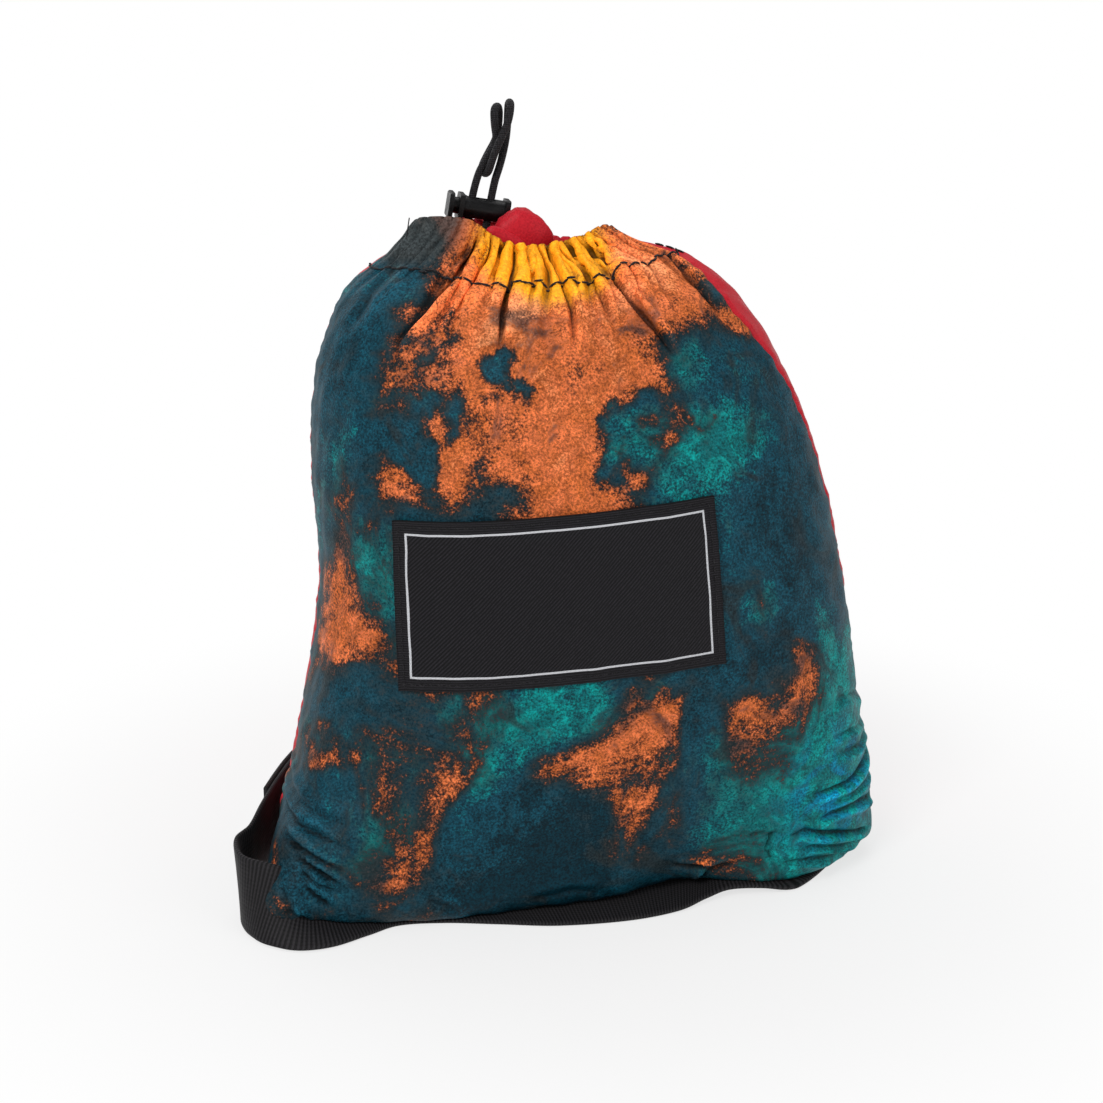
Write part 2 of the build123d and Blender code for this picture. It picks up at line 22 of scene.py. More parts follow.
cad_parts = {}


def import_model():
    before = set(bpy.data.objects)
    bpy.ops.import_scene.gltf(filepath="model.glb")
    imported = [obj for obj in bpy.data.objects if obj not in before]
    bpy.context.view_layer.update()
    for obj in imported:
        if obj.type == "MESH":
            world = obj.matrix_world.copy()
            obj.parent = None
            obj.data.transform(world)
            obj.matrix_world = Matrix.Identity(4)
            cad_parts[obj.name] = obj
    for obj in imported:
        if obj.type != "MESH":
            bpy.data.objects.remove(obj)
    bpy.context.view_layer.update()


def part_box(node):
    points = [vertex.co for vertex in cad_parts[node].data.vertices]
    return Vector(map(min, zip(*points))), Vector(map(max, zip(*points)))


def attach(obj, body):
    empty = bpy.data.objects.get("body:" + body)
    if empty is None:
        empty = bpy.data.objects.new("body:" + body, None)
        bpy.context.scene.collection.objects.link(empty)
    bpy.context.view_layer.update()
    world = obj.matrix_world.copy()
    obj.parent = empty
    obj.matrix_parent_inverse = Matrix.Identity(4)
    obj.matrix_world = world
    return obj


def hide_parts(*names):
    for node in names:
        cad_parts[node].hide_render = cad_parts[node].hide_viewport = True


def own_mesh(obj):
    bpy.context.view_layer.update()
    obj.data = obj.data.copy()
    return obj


MM = 0.001
TINY = 1e-9
LOG = logging.getLogger("hammock")
Array = np.ndarray
Input = Union[float, Sequence[float], bpy.types.NodeSocket]
Point = tuple[float, float, float]


class Slot(Enum):
    """Material slots of the record that pieces take their finish from."""

    PRINT = "printed_taffeta"
    RED = "red_nylon"
    LABEL = "label_weave"
    CORD = "cord_black"
    WEBBING = "webbing_black"
    ROPE = "rope"
    LOCK = "lock_plastic"
    SLIDER = "slider_plastic"
    ALUMINIUM = "aluminium"
    WIRE = "wire_steel"
    SPRING = "spring_steel"


def colour(code: str) -> tuple[float, float, float, float]:
    """Turn a display colour into the linear values that shaders use.

    Args:
        code: six hexadecimal digits, such as "0b3f4a".

    Returns:
        Linear red, green, blue and an alpha of one.
    """
    parts = [int(code[i:i + 2], 16) / 255 for i in (0, 2, 4)]
    linear = [c / 12.92 if c <= 0.04045 else ((c + 0.055) / 1.055) ** 2.4 for c in parts]
    return (linear[0], linear[1], linear[2], 1.0)


def ease(low: float, high: float, value: Array) -> Array:
    """Rise smoothly from 0 at low to 1 at high."""
    t = np.clip((np.asarray(value, dtype=float) - low) / (high - low), 0.0, 1.0)
    return t * t * (3 - 2 * t)


def through(points: Array, at: Array) -> Array:
    """Read a smooth curve that passes through the rows of an array.

    Args:
        points: control rows, with any further axes carried along.
        at: places to read, in rows.

    Returns:
        One row for each place.
    """
    last = len(points) - 1
    i = np.clip(np.floor(at).astype(int), 0, last - 1)
    u = (at - i).reshape((-1,) + (1,) * (points.ndim - 1))
    p1, p2 = points[i], points[i + 1]
    p0 = np.where((i > 0).reshape(u.shape), points[np.maximum(i - 1, 0)], 2 * p1 - p2)
    p3 = np.where((i < last - 1).reshape(u.shape), points[np.minimum(i + 2, last)], 2 * p2 - p1)
    return 0.5 * (2 * p1 + (p2 - p0) * u + (2 * p0 - 5 * p1 + 4 * p2 - p3) * u ** 2
                  + (3 * p1 - p0 - 3 * p2 + p3) * u ** 3)


def ripple(points: Array, pitch: float, seed: int) -> Array:
    """Smooth noise between about -1 and 1 at points, with features of a given size.

    Args:
        points: places in millimetres, any shape ending in 3.
        pitch: size of a feature in millimetres.
        seed: which noise to read.

    Returns:
        Noise values in the shape of the points without their last axis.
    """
    rng = np.random.default_rng(seed)
    total = np.zeros(points.shape[:-1])
    for _ in range(9):
        direction = rng.normal(size=3)
        direction *= 2 * math.pi / pitch * rng.uniform(0.6, 1.5) / np.linalg.norm(direction)
        total += np.sin(points @ direction + rng.uniform(0, 2 * math.pi))
    return total / 3.2


def unit(vectors: Array) -> Array:
    """Vectors brought to a length of one."""
    return vectors / np.maximum(np.linalg.norm(vectors, axis=-1, keepdims=True), TINY)


def distance_along(points: Array) -> Array:
    """Distance of each point from the first, along the line through them."""
    return np.concatenate([[0], np.cumsum(np.linalg.norm(np.diff(points, axis=0), axis=1))])


def below_rim(grid: Array) -> Array:
    """Distance of each point of a grid below its last row, along the cloth."""
    steps = np.linalg.norm(np.diff(grid, axis=0), axis=-1)
    return np.concatenate([np.cumsum(steps[::-1], axis=0)[::-1], np.zeros((1, grid.shape[1]))])


def normals_of(grid: Array, closed: bool) -> Array:
    """Unit normals of a grid of points, rows first, from the differences of its neighbours.

    Args:
        grid: rows by columns by 3.
        closed: whether the columns join round.

    Returns:
        Normals along rows cross columns, in the grid's shape.
    """
    along = np.gradient(grid, axis=0)
    if closed:
        across = (np.roll(grid, -1, axis=1) - np.roll(grid, 1, axis=1)) / 2
    else:
        across = np.gradient(grid, axis=1)
    return unit(np.cross(across, along))


def grid_faces(rows: int, columns: int, closed: bool = False) -> list[tuple[int, ...]]:
    """Four-sided faces of a grid of points stored row by row.

    Args:
        rows: number of rows.
        columns: number of points in a row.
        closed: whether the columns join round.

    Returns:
        Corner numbers of each face.
    """
    faces = []
    for r in range(rows - 1):
        for c in range(columns if closed else columns - 1):
            d = (c + 1) % columns
            faces.append((r * columns + c, r * columns + d, (r + 1) * columns + d,
                          (r + 1) * columns + c))
    return faces


def place_object(name: str, data: bpy.types.ID) -> bpy.types.Object:
    """Make an object from its data and link it to the scene.

    Args:
        name: object name.
        data: its mesh, curve, light or camera.

    Returns:
        The object.
    """
    piece = bpy.data.objects.new(name, data)
    bpy.context.scene.collection.objects.link(piece)
    return piece


def make_piece(name: str, points: Array, faces: Sequence[Sequence[int]],
               material: bpy.types.Material, uv: Array | None = None,
               merge: float = 0.0, fold: Array | None = None) -> bpy.types.Object:
    """Make a smooth-shaded mesh object with its place in its mesh.

    Args:
        name: object name.
        points: corner places in millimetres.
        faces: corner numbers of each face.
        material: finish of the whole piece.
        uv: one UV pair for each corner, for patterns that follow the surface.
        merge: corners closer than this, in millimetres, become one.
        fold: height of each corner above the smooth surface, for painted shade and highlight.

    Returns:
        The linked object.
    """
    mesh = bpy.data.meshes.new(name)
    corners = np.asarray(points, dtype=float).reshape(-1, 3) * MM
    mesh.from_pydata(corners.tolist(), [], [tuple(f) for f in faces])
    if uv is not None:
        layer = mesh.uv_layers.new(name="cloth")
        index = np.empty(len(mesh.loops), dtype=int)
        mesh.loops.foreach_get("vertex_index", index)
        layer.data.foreach_set("uv", np.asarray(uv, dtype=float).reshape(-1, 2)[index].ravel())
    if fold is not None:
        layer = mesh.attributes.new("fold", "FLOAT", "POINT")
        layer.data.foreach_set("value", np.asarray(fold, dtype=float).ravel())
    mesh.materials.append(material)
    piece = place_object(name, mesh)
    if merge:
        work = bmesh.new()
        work.from_mesh(mesh)
        bmesh.ops.remove_doubles(work, verts=work.verts, dist=merge * MM)
        bmesh.ops.dissolve_degenerate(work, edges=work.edges, dist=merge * MM * 0.1)
        work.to_mesh(mesh)
        work.free()
    mesh.polygons.foreach_set("use_smooth", [True] * len(mesh.polygons))
    mesh.update()
    return piece


def thicken(piece: bpy.types.Object, wall: float) -> None:
    """Give a sheet a wall on its inner side, with closed edges.

    Args:
        piece: the sheet.
        wall: thickness in millimetres.
    """
    solid = piece.modifiers.new("wall", "SOLIDIFY")
    solid.thickness = wall * MM
    solid.offset = -1.0
    solid.use_rim = True


def close_ends(rows: int, columns: int) -> list[tuple[int, ...]]:
    """Faces of a tube of outlines with both of its ends closed.

    Args:
        rows: number of outlines.
        columns: number of points in an outline.

    Returns:
        Corner numbers of each face.
    """
    faces = grid_faces(rows, columns, closed=True)
    faces.append(tuple(reversed(range(columns))))
    faces.append(tuple((rows - 1) * columns + c for c in range(columns)))
    return faces


# --- finishes -------------------------------------------------------------------------------------


class Shading:
    """Adds nodes to one material and links them."""

    def __init__(self, name: str) -> None:
        """Start a material with only its shader and output.

        Args:
            name: material name.
        """
        self.material = bpy.data.materials.new(name)
        self.material.use_nodes = True
        self.tree = self.material.node_tree
        self.shader = self.tree.nodes["Principled BSDF"]

    def put(self, socket: bpy.types.NodeSocket, value: Input) -> None:
        """Link a socket to another, or set its own value.

        Args:
            socket: input to feed.
            value: another node's output, or a number or colour.
        """
        if isinstance(value, bpy.types.NodeSocket):
            self.tree.links.new(value, socket)
        else:
            socket.default_value = value

    def surface(self, **values: Input) -> None:
        """Set the shader's sockets by name, with underscores for spaces."""
        for name, value in values.items():
            self.put(self.shader.inputs[name.replace("_", " ")], value)

    def place(self) -> bpy.types.NodeSocket:
        """Object coordinates in millimetres.

        Returns:
            The coordinates' socket.
        """
        node = self.tree.nodes.new("ShaderNodeTexCoord")
        scale = self.tree.nodes.new("ShaderNodeVectorMath")
        scale.operation = "SCALE"
        self.tree.links.new(node.outputs["Object"], scale.inputs[0])
        scale.inputs["Scale"].default_value = 1 / MM
        return scale.outputs["Vector"]

    def uv(self) -> tuple[bpy.types.NodeSocket, bpy.types.NodeSocket]:
        """The two UV values, which pieces store in millimetres.

        Returns:
            The value across and the value up.
        """
        node = self.tree.nodes.new("ShaderNodeUVMap")
        node.uv_map = "cloth"
        split = self.tree.nodes.new("ShaderNodeSeparateXYZ")
        self.tree.links.new(node.outputs["UV"], split.inputs[0])
        return split.outputs["X"], split.outputs["Y"]

    def shadow(self, share: float) -> bpy.types.NodeSocket:
        """Factor that paints shade in valleys and a highlight on ridges of the mesh's own folds.

        Args:
            share: how much darker the painted shade makes the deepest valleys.

        Returns:
            Factor for a colour, 1 where the cloth is smooth.
        """
        node = self.tree.nodes.new("ShaderNodeAttribute")
        node.attribute_name = "fold"
        # Painted shade in the valleys, painted highlight on the ridges.
        dark = self.ramp(node.outputs["Fac"], -1.3, -0.1, 1.0 - share, 1.0)
        light = self.ramp(node.outputs["Fac"], 0.15, 1.1, 1.0, 1.0 + 0.85 * share)
        return self.math("MULTIPLY", dark, light)

    def noise(self, where: Input, size: float, detail: float = 3.0, roughness: float = 0.5,
              distortion: float = 0.0) -> bpy.types.NodeSocket:
        """Noise with features of a size in millimetres.

        Args:
            where: place to read.
            size: size of a feature.
            detail: octaves of finer noise.
            roughness: strength of each finer octave.
            distortion: how far the noise swirls.

        Returns:
            Noise of about 0 to 1.
        """
        node = self.tree.nodes.new("ShaderNodeTexNoise")
        self.put(node.inputs["Vector"], where)
        node.inputs["Scale"].default_value = 1 / size
        node.inputs["Detail"].default_value = detail
        node.inputs["Roughness"].default_value = roughness
        node.inputs["Distortion"].default_value = distortion
        return node.outputs["Fac"]

    def warp(self, where: Input, size: float, amount: float) -> bpy.types.NodeSocket:
        """Places shifted by a soft noise, so that round patches lose their outline.

        Args:
            where: places to shift.
            size: size of the noise's features in millimetres.
            amount: widest range of the shift in millimetres.

        Returns:
            The shifted places.
        """
        soft = self.noise(where, size, 4.0).node
        shift = self.tree.nodes.new("ShaderNodeVectorMath")
        shift.operation = "MULTIPLY_ADD"
        self.put(shift.inputs[0], soft.outputs["Color"])
        shift.inputs[1].default_value = (amount,) * 3
        shift.inputs[2].default_value = (-amount / 2,) * 3
        total = self.tree.nodes.new("ShaderNodeVectorMath")
        total.operation = "ADD"
        self.put(total.inputs[0], where)
        self.put(total.inputs[1], shift.outputs["Vector"])
        return total.outputs["Vector"]

    def math(self, operation: str, a: Input, b: Input = 0.0) -> bpy.types.NodeSocket:
        """One arithmetic step.

        Args:
            operation: Blender's name for it.
            a: first number.
            b: second number, where the step takes two.

        Returns:
            Its result.
        """
        node = self.tree.nodes.new("ShaderNodeMath")
        node.operation = operation
        for socket, value in zip(node.inputs, (a, b)):
            self.put(socket, value)
        return node.outputs[0]

    def ramp(self, value: Input, low: float, high: float, start: float = 0.0,
             stop: float = 1.0) -> bpy.types.NodeSocket:
        """Smooth step of a value from start at low to stop at high.

        Args:
            value: number to read.
            low: where the step starts.
            high: where it ends.
            start: result at low.
            stop: result at high.

        Returns:
            The result.
        """
        node = self.tree.nodes.new("ShaderNodeMapRange")
        node.interpolation_type = "SMOOTHSTEP"
        self.put(node.inputs["Value"], value)
        for name, number in (("From Min", low), ("From Max", high), ("To Min", start),
                             ("To Max", stop)):
            node.inputs[name].default_value = number
        return node.outputs["Result"]

    def near(self, where: Input, centre: Point, reach: float) -> bpy.types.NodeSocket:
        """One at a centre, falling to nothing at a reach in millimetres.

        Args:
            where: place to read.
            centre: the centre in millimetres.
            reach: distance at which nothing is left.

        Returns:
            Closeness of 0 to 1.
        """
        node = self.tree.nodes.new("ShaderNodeVectorMath")
        node.operation = "DISTANCE"
        self.put(node.inputs[0], where)
        node.inputs[1].default_value = centre
        return self.ramp(node.outputs["Value"], 0.0, reach, 1.0, 0.0)

    def mix(self, share: Input, a: Input, b: Input) -> bpy.types.NodeSocket:
        """Mix two colours.

        Args:
            share: how much of the second one there is.
            a: first colour.
            b: second colour.

        Returns:
            The mixed colour.
        """
        node = self.tree.nodes.new("ShaderNodeMix")
        node.data_type = "RGBA"
        self.put(node.inputs["Factor"], share)
        self.put(node.inputs[6], a)
        self.put(node.inputs[7], b)
        return node.outputs[2]

    def bump(self, height: Input, depth: float, strength: float = 1.0) -> None:
        """Raise the surface by a height of 0 to 1 times a depth in millimetres.

        Args:
            height: height of about 0 to 1.
            depth: how deep a height of one is.
            strength: share of the effect that is kept.
        """
        node = self.tree.nodes.new("ShaderNodeBump")
        node.inputs["Strength"].default_value = strength
        node.inputs["Distance"].default_value = depth * MM
        self.put(node.inputs["Height"], height)
        self.put(self.shader.inputs["Normal"], node.outputs["Normal"])


class Tint(Enum):
    """What a blot, of dye or of painted shade, does to the print."""

    WARM = "warm"
    BRIGHT = "bright"


@dataclass(frozen=True)
class Blot:
    """A broad patch of dye or painted shade: where it is, how far it reaches and how strong it is.
    """

    centre: Point
    reach: float
    strength: float
    tint: Tint


@dataclass(frozen=True)
class MottledPrint:
    """Taffeta printed in soft grainy blotches of warm colour on teal."""

    name: str = "printed_taffeta"
    deep: str = "022a36"
    middle: str = "0d4353"
    bright: str = "018e8b"
    dim: str = "04696c"
    blue: str = "0280a8"
    slate: str = "232d30"
    brown: str = "33231e"
    rust: str = "c0622f"
    orange: str = "df7442"
    peach: str = "e08a58"
    yellow: str = "e39a1c"
    ash: str = "3c4040"
    grain: float = 0.6
    blotch: float = 30.0
    blue_place: Point = (64.0, -36.0, 26.0)
    yellow_place: Point = (-9.0, -15.0, 170.0)
    ash_place: Point = (-42.0, -4.0, 178.0)
    # Strength of the painted shade in fold valleys and painted highlight on fold ridges.
    painted_fold_share: float = 0.76
    blots: tuple[Blot, ...] = (
        Blot((-16.0, -38.0, 138.0), 58.0, 0.36, Tint.WARM),
        Blot((-14.0, -16.0, 164.0), 40.0, 0.20, Tint.WARM),
        Blot((18.0, -12.0, 166.0), 26.0, 0.30, Tint.WARM),
        Blot((44.0, -18.0, 152.0), 16.0, 0.22, Tint.WARM),
        Blot((-66.0, -20.0, 76.0), 24.0, 0.13, Tint.WARM),
        Blot((-66.0, -30.0, 104.0), 13.0, 0.20, Tint.WARM),
        Blot((-72.0, -30.0, 46.0), 14.0, 0.22, Tint.WARM),
        Blot((-60.0, -38.0, 27.0), 12.0, 0.20, Tint.WARM),
        Blot((12.0, -48.0, 54.0), 26.0, 0.13, Tint.WARM),
        Blot((-2.0, -50.0, 34.0), 20.0, 0.15, Tint.WARM),
        Blot((50.0, -40.0, 56.0), 26.0, 0.06, Tint.WARM),
        Blot((-78.0, -38.0, 14.0), 16.0, 0.16, Tint.WARM),
        Blot((-25.0, -36.0, 145.0), 11.0, -0.50, Tint.WARM),
        Blot((5.0, -40.0, 129.0), 16.0, -0.36, Tint.WARM),
        Blot((-43.0, -36.0, 126.0), 14.0, -0.40, Tint.WARM),
        Blot((-62.0, -6.0, 150.0), 42.0, -0.26, Tint.WARM),
        Blot((48.0, -30.0, 118.0), 44.0, -0.16, Tint.WARM),
        Blot((72.0, -30.0, 26.0), 48.0, -0.24, Tint.WARM),
        Blot((-20.0, -50.0, 18.0), 40.0, -0.12, Tint.WARM),
        Blot((66.0, -34.0, 26.0), 58.0, 0.30, Tint.BRIGHT),
        Blot((-24.0, -50.0, 54.0), 34.0, 0.22, Tint.BRIGHT),
        Blot((38.0, -44.0, 132.0), 38.0, 0.16, Tint.BRIGHT),
        # Painted shade low on the front: this blot draws the bottom towards the deep teal.
        Blot((-10.0, -46.0, 12.0), 46.0, -0.24, Tint.BRIGHT),
        Blot((-60.0, -20.0, 140.0), 40.0, -0.10, Tint.BRIGHT),
    )

    def build(self) -> bpy.types.Material:
        """Build the material.

        Returns:
            The material.
        """
        s = Shading(self.name)
        where = s.place()
        grain = s.noise(where, self.grain, 1.5, 0.75)
        speckle = s.math("SUBTRACT", grain, 0.5)
        mid = s.noise(where, 3.2, 3.0, 0.65, 0.4)
        fields = {Tint.WARM: s.math("SUBTRACT", s.noise(where, self.blotch, 7.0, 0.6, 0.9), 0.66),
                  Tint.BRIGHT: s.noise(where, 36.0, 5.0, 0.6, 0.5)}
        drift = s.warp(where, 13.0, 34.0)
        for blot in self.blots:
            part = s.math("MULTIPLY", s.near(drift, blot.centre, blot.reach), blot.strength)
            fields[blot.tint] = s.math("ADD", fields[blot.tint], part)
        rough = s.math("ADD", s.math("MULTIPLY", speckle, 0.24),
                       s.math("MULTIPLY", s.math("SUBTRACT", mid, 0.5), 0.18))
        warm = s.math("ADD", fields[Tint.WARM], rough)
        cool = s.math("ADD", fields[Tint.BRIGHT], rough)
        base = s.mix(s.ramp(cool, 0.34, 0.52), colour(self.deep), colour(self.middle))
        vivid = s.mix(s.ramp(s.noise(where, 7.0, 4.0, 0.62, 1.2), 0.42, 0.6), colour(self.dim),
                      colour(self.bright))
        base = s.mix(s.ramp(cool, 0.54, 0.72), base, vivid)
        corner = s.math("MULTIPLY", s.near(where, self.blue_place, 26.0),
                        s.ramp(s.noise(where, 12.0, 3.0, 0.5, 1.4), 0.44, 0.6))
        base = s.mix(corner, base, colour(self.blue))
        base = s.mix(s.ramp(warm, -0.2, -0.06), base, colour(self.slate))
        base = s.mix(s.ramp(warm, -0.10, -0.01), base, colour(self.brown))
        glow = s.math("ADD", s.near(where, self.yellow_place, 26.0), rough)
        hue = s.ramp(s.noise(where, 8.0, 4.0, 0.6, 0.8), 0.36, 0.66)
        hot = s.mix(hue, colour(self.rust), colour(self.orange))
        hot = s.mix(s.ramp(warm, 0.14, 0.34), hot, colour(self.peach))
        hot = s.mix(s.ramp(glow, 0.1, 0.4), hot, colour(self.yellow))
        base = s.mix(s.ramp(warm, -0.07, 0.06), base, hot)
        neck = s.math("ADD", s.near(where, self.ash_place, 24.0), rough)
        base = s.mix(s.ramp(neck, 0.2, 0.55, 0.0, 0.9), base, colour(self.ash))
        ink = s.math("ADD", s.noise(where, 17.0, 5.0, 0.62, 1.3), rough)
        ink = s.math("MULTIPLY", s.ramp(ink, 0.56, 0.67), s.ramp(glow, 0.0, 0.2, 0.8, 0.0))
        base = s.mix(ink, base, colour(self.slate))
        coarse = s.ramp(grain, 0.28, 0.72, 0.5, 1.48)
        toned = s.math("POWER", coarse, s.ramp(warm, -0.2, 0.0, 1.15, 1.05))
        toned = s.mix(s.ramp(glow, 0.1, 0.4, 0.0, 0.55), toned, (1.0, 1.0, 1.0, 1.0))
        shade = s.math("MULTIPLY", toned, s.ramp(mid, 0.30, 0.70, 0.8, 1.2))
        # Painted shade in fold valleys and painted highlight on fold ridges, from the fold heights.
        shade = s.math("MULTIPLY", shade, s.shadow(self.painted_fold_share))
        tint = s.tree.nodes.new("ShaderNodeVectorMath")
        tint.operation = "SCALE"
        s.put(tint.inputs[0], base)
        s.put(tint.inputs["Scale"], shade)
        s.surface(Base_Color=tint.outputs["Vector"], Roughness=0.5, Specular_IOR_Level=0.14)
        weave = s.math("ADD", s.noise(where, 0.5, 2.0, 0.6),
                       s.math("MULTIPLY", s.noise(where, 4.5, 3.0, 0.6, 0.6), 1.6))
        s.bump(weave, 0.2, 0.9)
        return s.material


@dataclass(frozen=True)
class PlainTaffeta:
    """Plain nylon taffeta with a fine weave and small creases."""

    name: str
    base: str
    shade: str
    roughness: float = 0.5

    def build(self) -> bpy.types.Material:
        """Build the material.

        Returns:
            The material.
        """
        s = Shading(self.name)
        where = s.place()
        grain = s.noise(where, 0.5, 2.0, 0.6)
        worn = s.noise(where, 9.0, 4.0, 0.6, 0.5)
        tone = s.math("ADD", s.math("MULTIPLY", grain, 0.75), s.math("MULTIPLY", worn, 0.25))
        s.surface(Base_Color=s.mix(s.ramp(tone, 0.36, 0.62), colour(self.shade), colour(self.base)),
                  Roughness=self.roughness, Specular_IOR_Level=0.22, Sheen_Weight=0.05,
                  Sheen_Roughness=0.4)
        s.bump(s.math("ADD", grain, s.math("MULTIPLY", s.noise(where, 3.0, 3.0, 0.65, 1.2), 1.2)),
               0.12, 0.5)
        return s.material


@dataclass(frozen=True)
class WovenLabel:
    """Black woven patch: diagonal twill inside a thin pale line, a plain margin outside it."""

    width: float
    height: float
    name: str = "label_weave"
    inset: float = 3.6
    line: float = 0.55
    twill: float = 1.05
    margin_rib: float = 0.62
    black: str = "08070a"
    lift: str = "2a282d"
    pale: str = "d4d5da"

    def build(self) -> bpy.types.Material:
        """Build the material.

        Returns:
            The material.
        """
        s = Shading(self.name)
        u, v = s.uv()
        dx = s.math("SUBTRACT", s.math("ABSOLUTE", u), self.width / 2 - self.inset)
        dy = s.math("SUBTRACT", s.math("ABSOLUTE", v), self.height / 2 - self.inset)
        edge = s.math("MAXIMUM", dx, dy)
        border = s.ramp(s.math("ABSOLUTE", edge), self.line * 0.42, self.line * 0.58, 1.0, 0.0)
        inside = s.ramp(edge, -0.1, 0.1, 1.0, 0.0)
        turn = s.math("MULTIPLY", s.math("SUBTRACT", v, u), 2 * math.pi / self.twill)
        twill = s.ramp(s.math("SINE", turn), -0.5, 0.7)
        ribs = s.ramp(s.math("SINE", s.math("MULTIPLY", v, 2 * math.pi / self.margin_rib)),
                      -1.0, 1.0)
        grain = s.noise(s.place(), 0.4, 2.0, 0.6)
        weave = s.math("ADD", s.math("MULTIPLY", inside, twill),
                       s.math("MULTIPLY", s.math("SUBTRACT", 1.0, inside), ribs))
        tone = s.math("MULTIPLY", weave, s.ramp(grain, 0.3, 0.7, 0.4, 1.0))
        base = s.mix(tone, colour(self.black), colour(self.lift))
        base = s.mix(border, base, colour(self.pale))
        s.surface(Base_Color=base, Roughness=0.62, Specular_IOR_Level=0.2)
        s.bump(s.math("ADD", s.math("MULTIPLY", weave, 0.7), s.math("ADD", border, grain)),
               0.16, 0.8)
        return s.material


@dataclass(frozen=True)
class RibbedWebbing:
    """Narrow black webbing whose ribs run across it."""

    name: str = "webbing_black"
    rib: float = 0.95
    yarn: float = 1.1
    black: str = "09080a"
    lift: str = "2a282b"

    def build(self) -> bpy.types.Material:
        """Build the material.

        Returns:
            The material.
        """
        s = Shading(self.name)
        along, across = s.uv()
        wave = s.math("SINE", s.math("MULTIPLY", along, 2 * math.pi / self.rib))
        yarn = s.math("SINE", s.math("MULTIPLY", across, 2 * math.pi / self.yarn))
        grain = s.noise(s.place(), 0.5, 2.0, 0.6)
        tone = s.math("ADD", s.math("MULTIPLY", s.ramp(wave, -0.8, 0.9), 0.7),
                      s.math("MULTIPLY", grain, 0.45))
        s.surface(Base_Color=s.mix(s.ramp(tone, 0.15, 0.95), colour(self.black), colour(self.lift)),
                  Roughness=0.6, Specular_IOR_Level=0.22, Sheen_Weight=0.04, Sheen_Roughness=0.5)
        s.bump(s.math("ADD", s.math("ADD", wave, s.math("MULTIPLY", yarn, 0.35)), grain), 0.1, 0.8)
        return s.material


@dataclass(frozen=True)
class BraidedCord:
    """Fine braid on a round cord."""

    name: str
    black: str = "0b0a0c"
    lift: str = "2a282c"
    pitch: float = 1.1

    def build(self) -> bpy.types.Material:
        """Build the material.

        Returns:
            The material.
        """
        s = Shading(self.name)
        where = s.place()
        split = s.tree.nodes.new("ShaderNodeSeparateXYZ")
        s.put(split.inputs[0], where)
        x, y, z = split.outputs
        turn = 2 * math.pi / self.pitch
        up = s.math("SINE", s.math("MULTIPLY", s.math("ADD", s.math("ADD", x, y), z), turn))
        down = s.math("SINE", s.math("MULTIPLY", s.math("SUBTRACT", s.math("ADD", x, y), z), turn))
        braid = s.math("MULTIPLY", up, down)
        grain = s.noise(where, 0.35, 2.0, 0.6)
        tone = s.math("ADD", s.math("MULTIPLY", braid, 0.35), grain)
        s.surface(Base_Color=s.mix(s.ramp(tone, 0.25, 0.85), colour(self.black), colour(self.lift)),
                  Roughness=0.68, Specular_IOR_Level=0.25, Sheen_Weight=0.06, Sheen_Roughness=0.5)
        s.bump(s.math("ADD", braid, grain), 0.12, 0.8)
        return s.material


@dataclass(frozen=True)
class MouldedPlastic:
    """Black moulded plastic with a faint spark-eroded grain and rubbed patches spread by noise."""

    name: str
    base: str = "070709"
    rubbed: str = "141517"
    roughness: float = 0.36

    def build(self) -> bpy.types.Material:
        """Build the material.

        Returns:
            The material.
        """
        s = Shading(self.name)
        where = s.place()
        grain = s.noise(where, 0.25, 2.0, 0.6)
        cloud = s.noise(where, 2.8, 4.0, 0.6)
        s.surface(Base_Color=s.mix(s.ramp(cloud, 0.45, 0.75), colour(self.base),
                                   colour(self.rubbed)),
                  Roughness=s.ramp(cloud, 0.2, 0.8, self.roughness - 0.08, self.roughness + 0.12),
                  Specular_IOR_Level=0.3)
        s.bump(grain, 0.05, 0.5)
        return s.material


@dataclass(frozen=True)
class BareMetal:
    """Metal with fine handling marks."""

    name: str
    base: str
    roughness: float

    def build(self) -> bpy.types.Material:
        """Build the material.

        Returns:
            The material.
        """
        s = Shading(self.name)
        where = s.place()
        marks = s.noise(where, 1.2, 5.0, 0.7, 1.5)
        s.surface(Base_Color=colour(self.base), Metallic=1.0,
                  Roughness=s.ramp(marks, 0.3, 0.7, self.roughness - 0.07, self.roughness + 0.1))
        s.bump(marks, 0.03, 0.4)
        return s.material


# --- stitches -------------------------------------------------------------------------------------


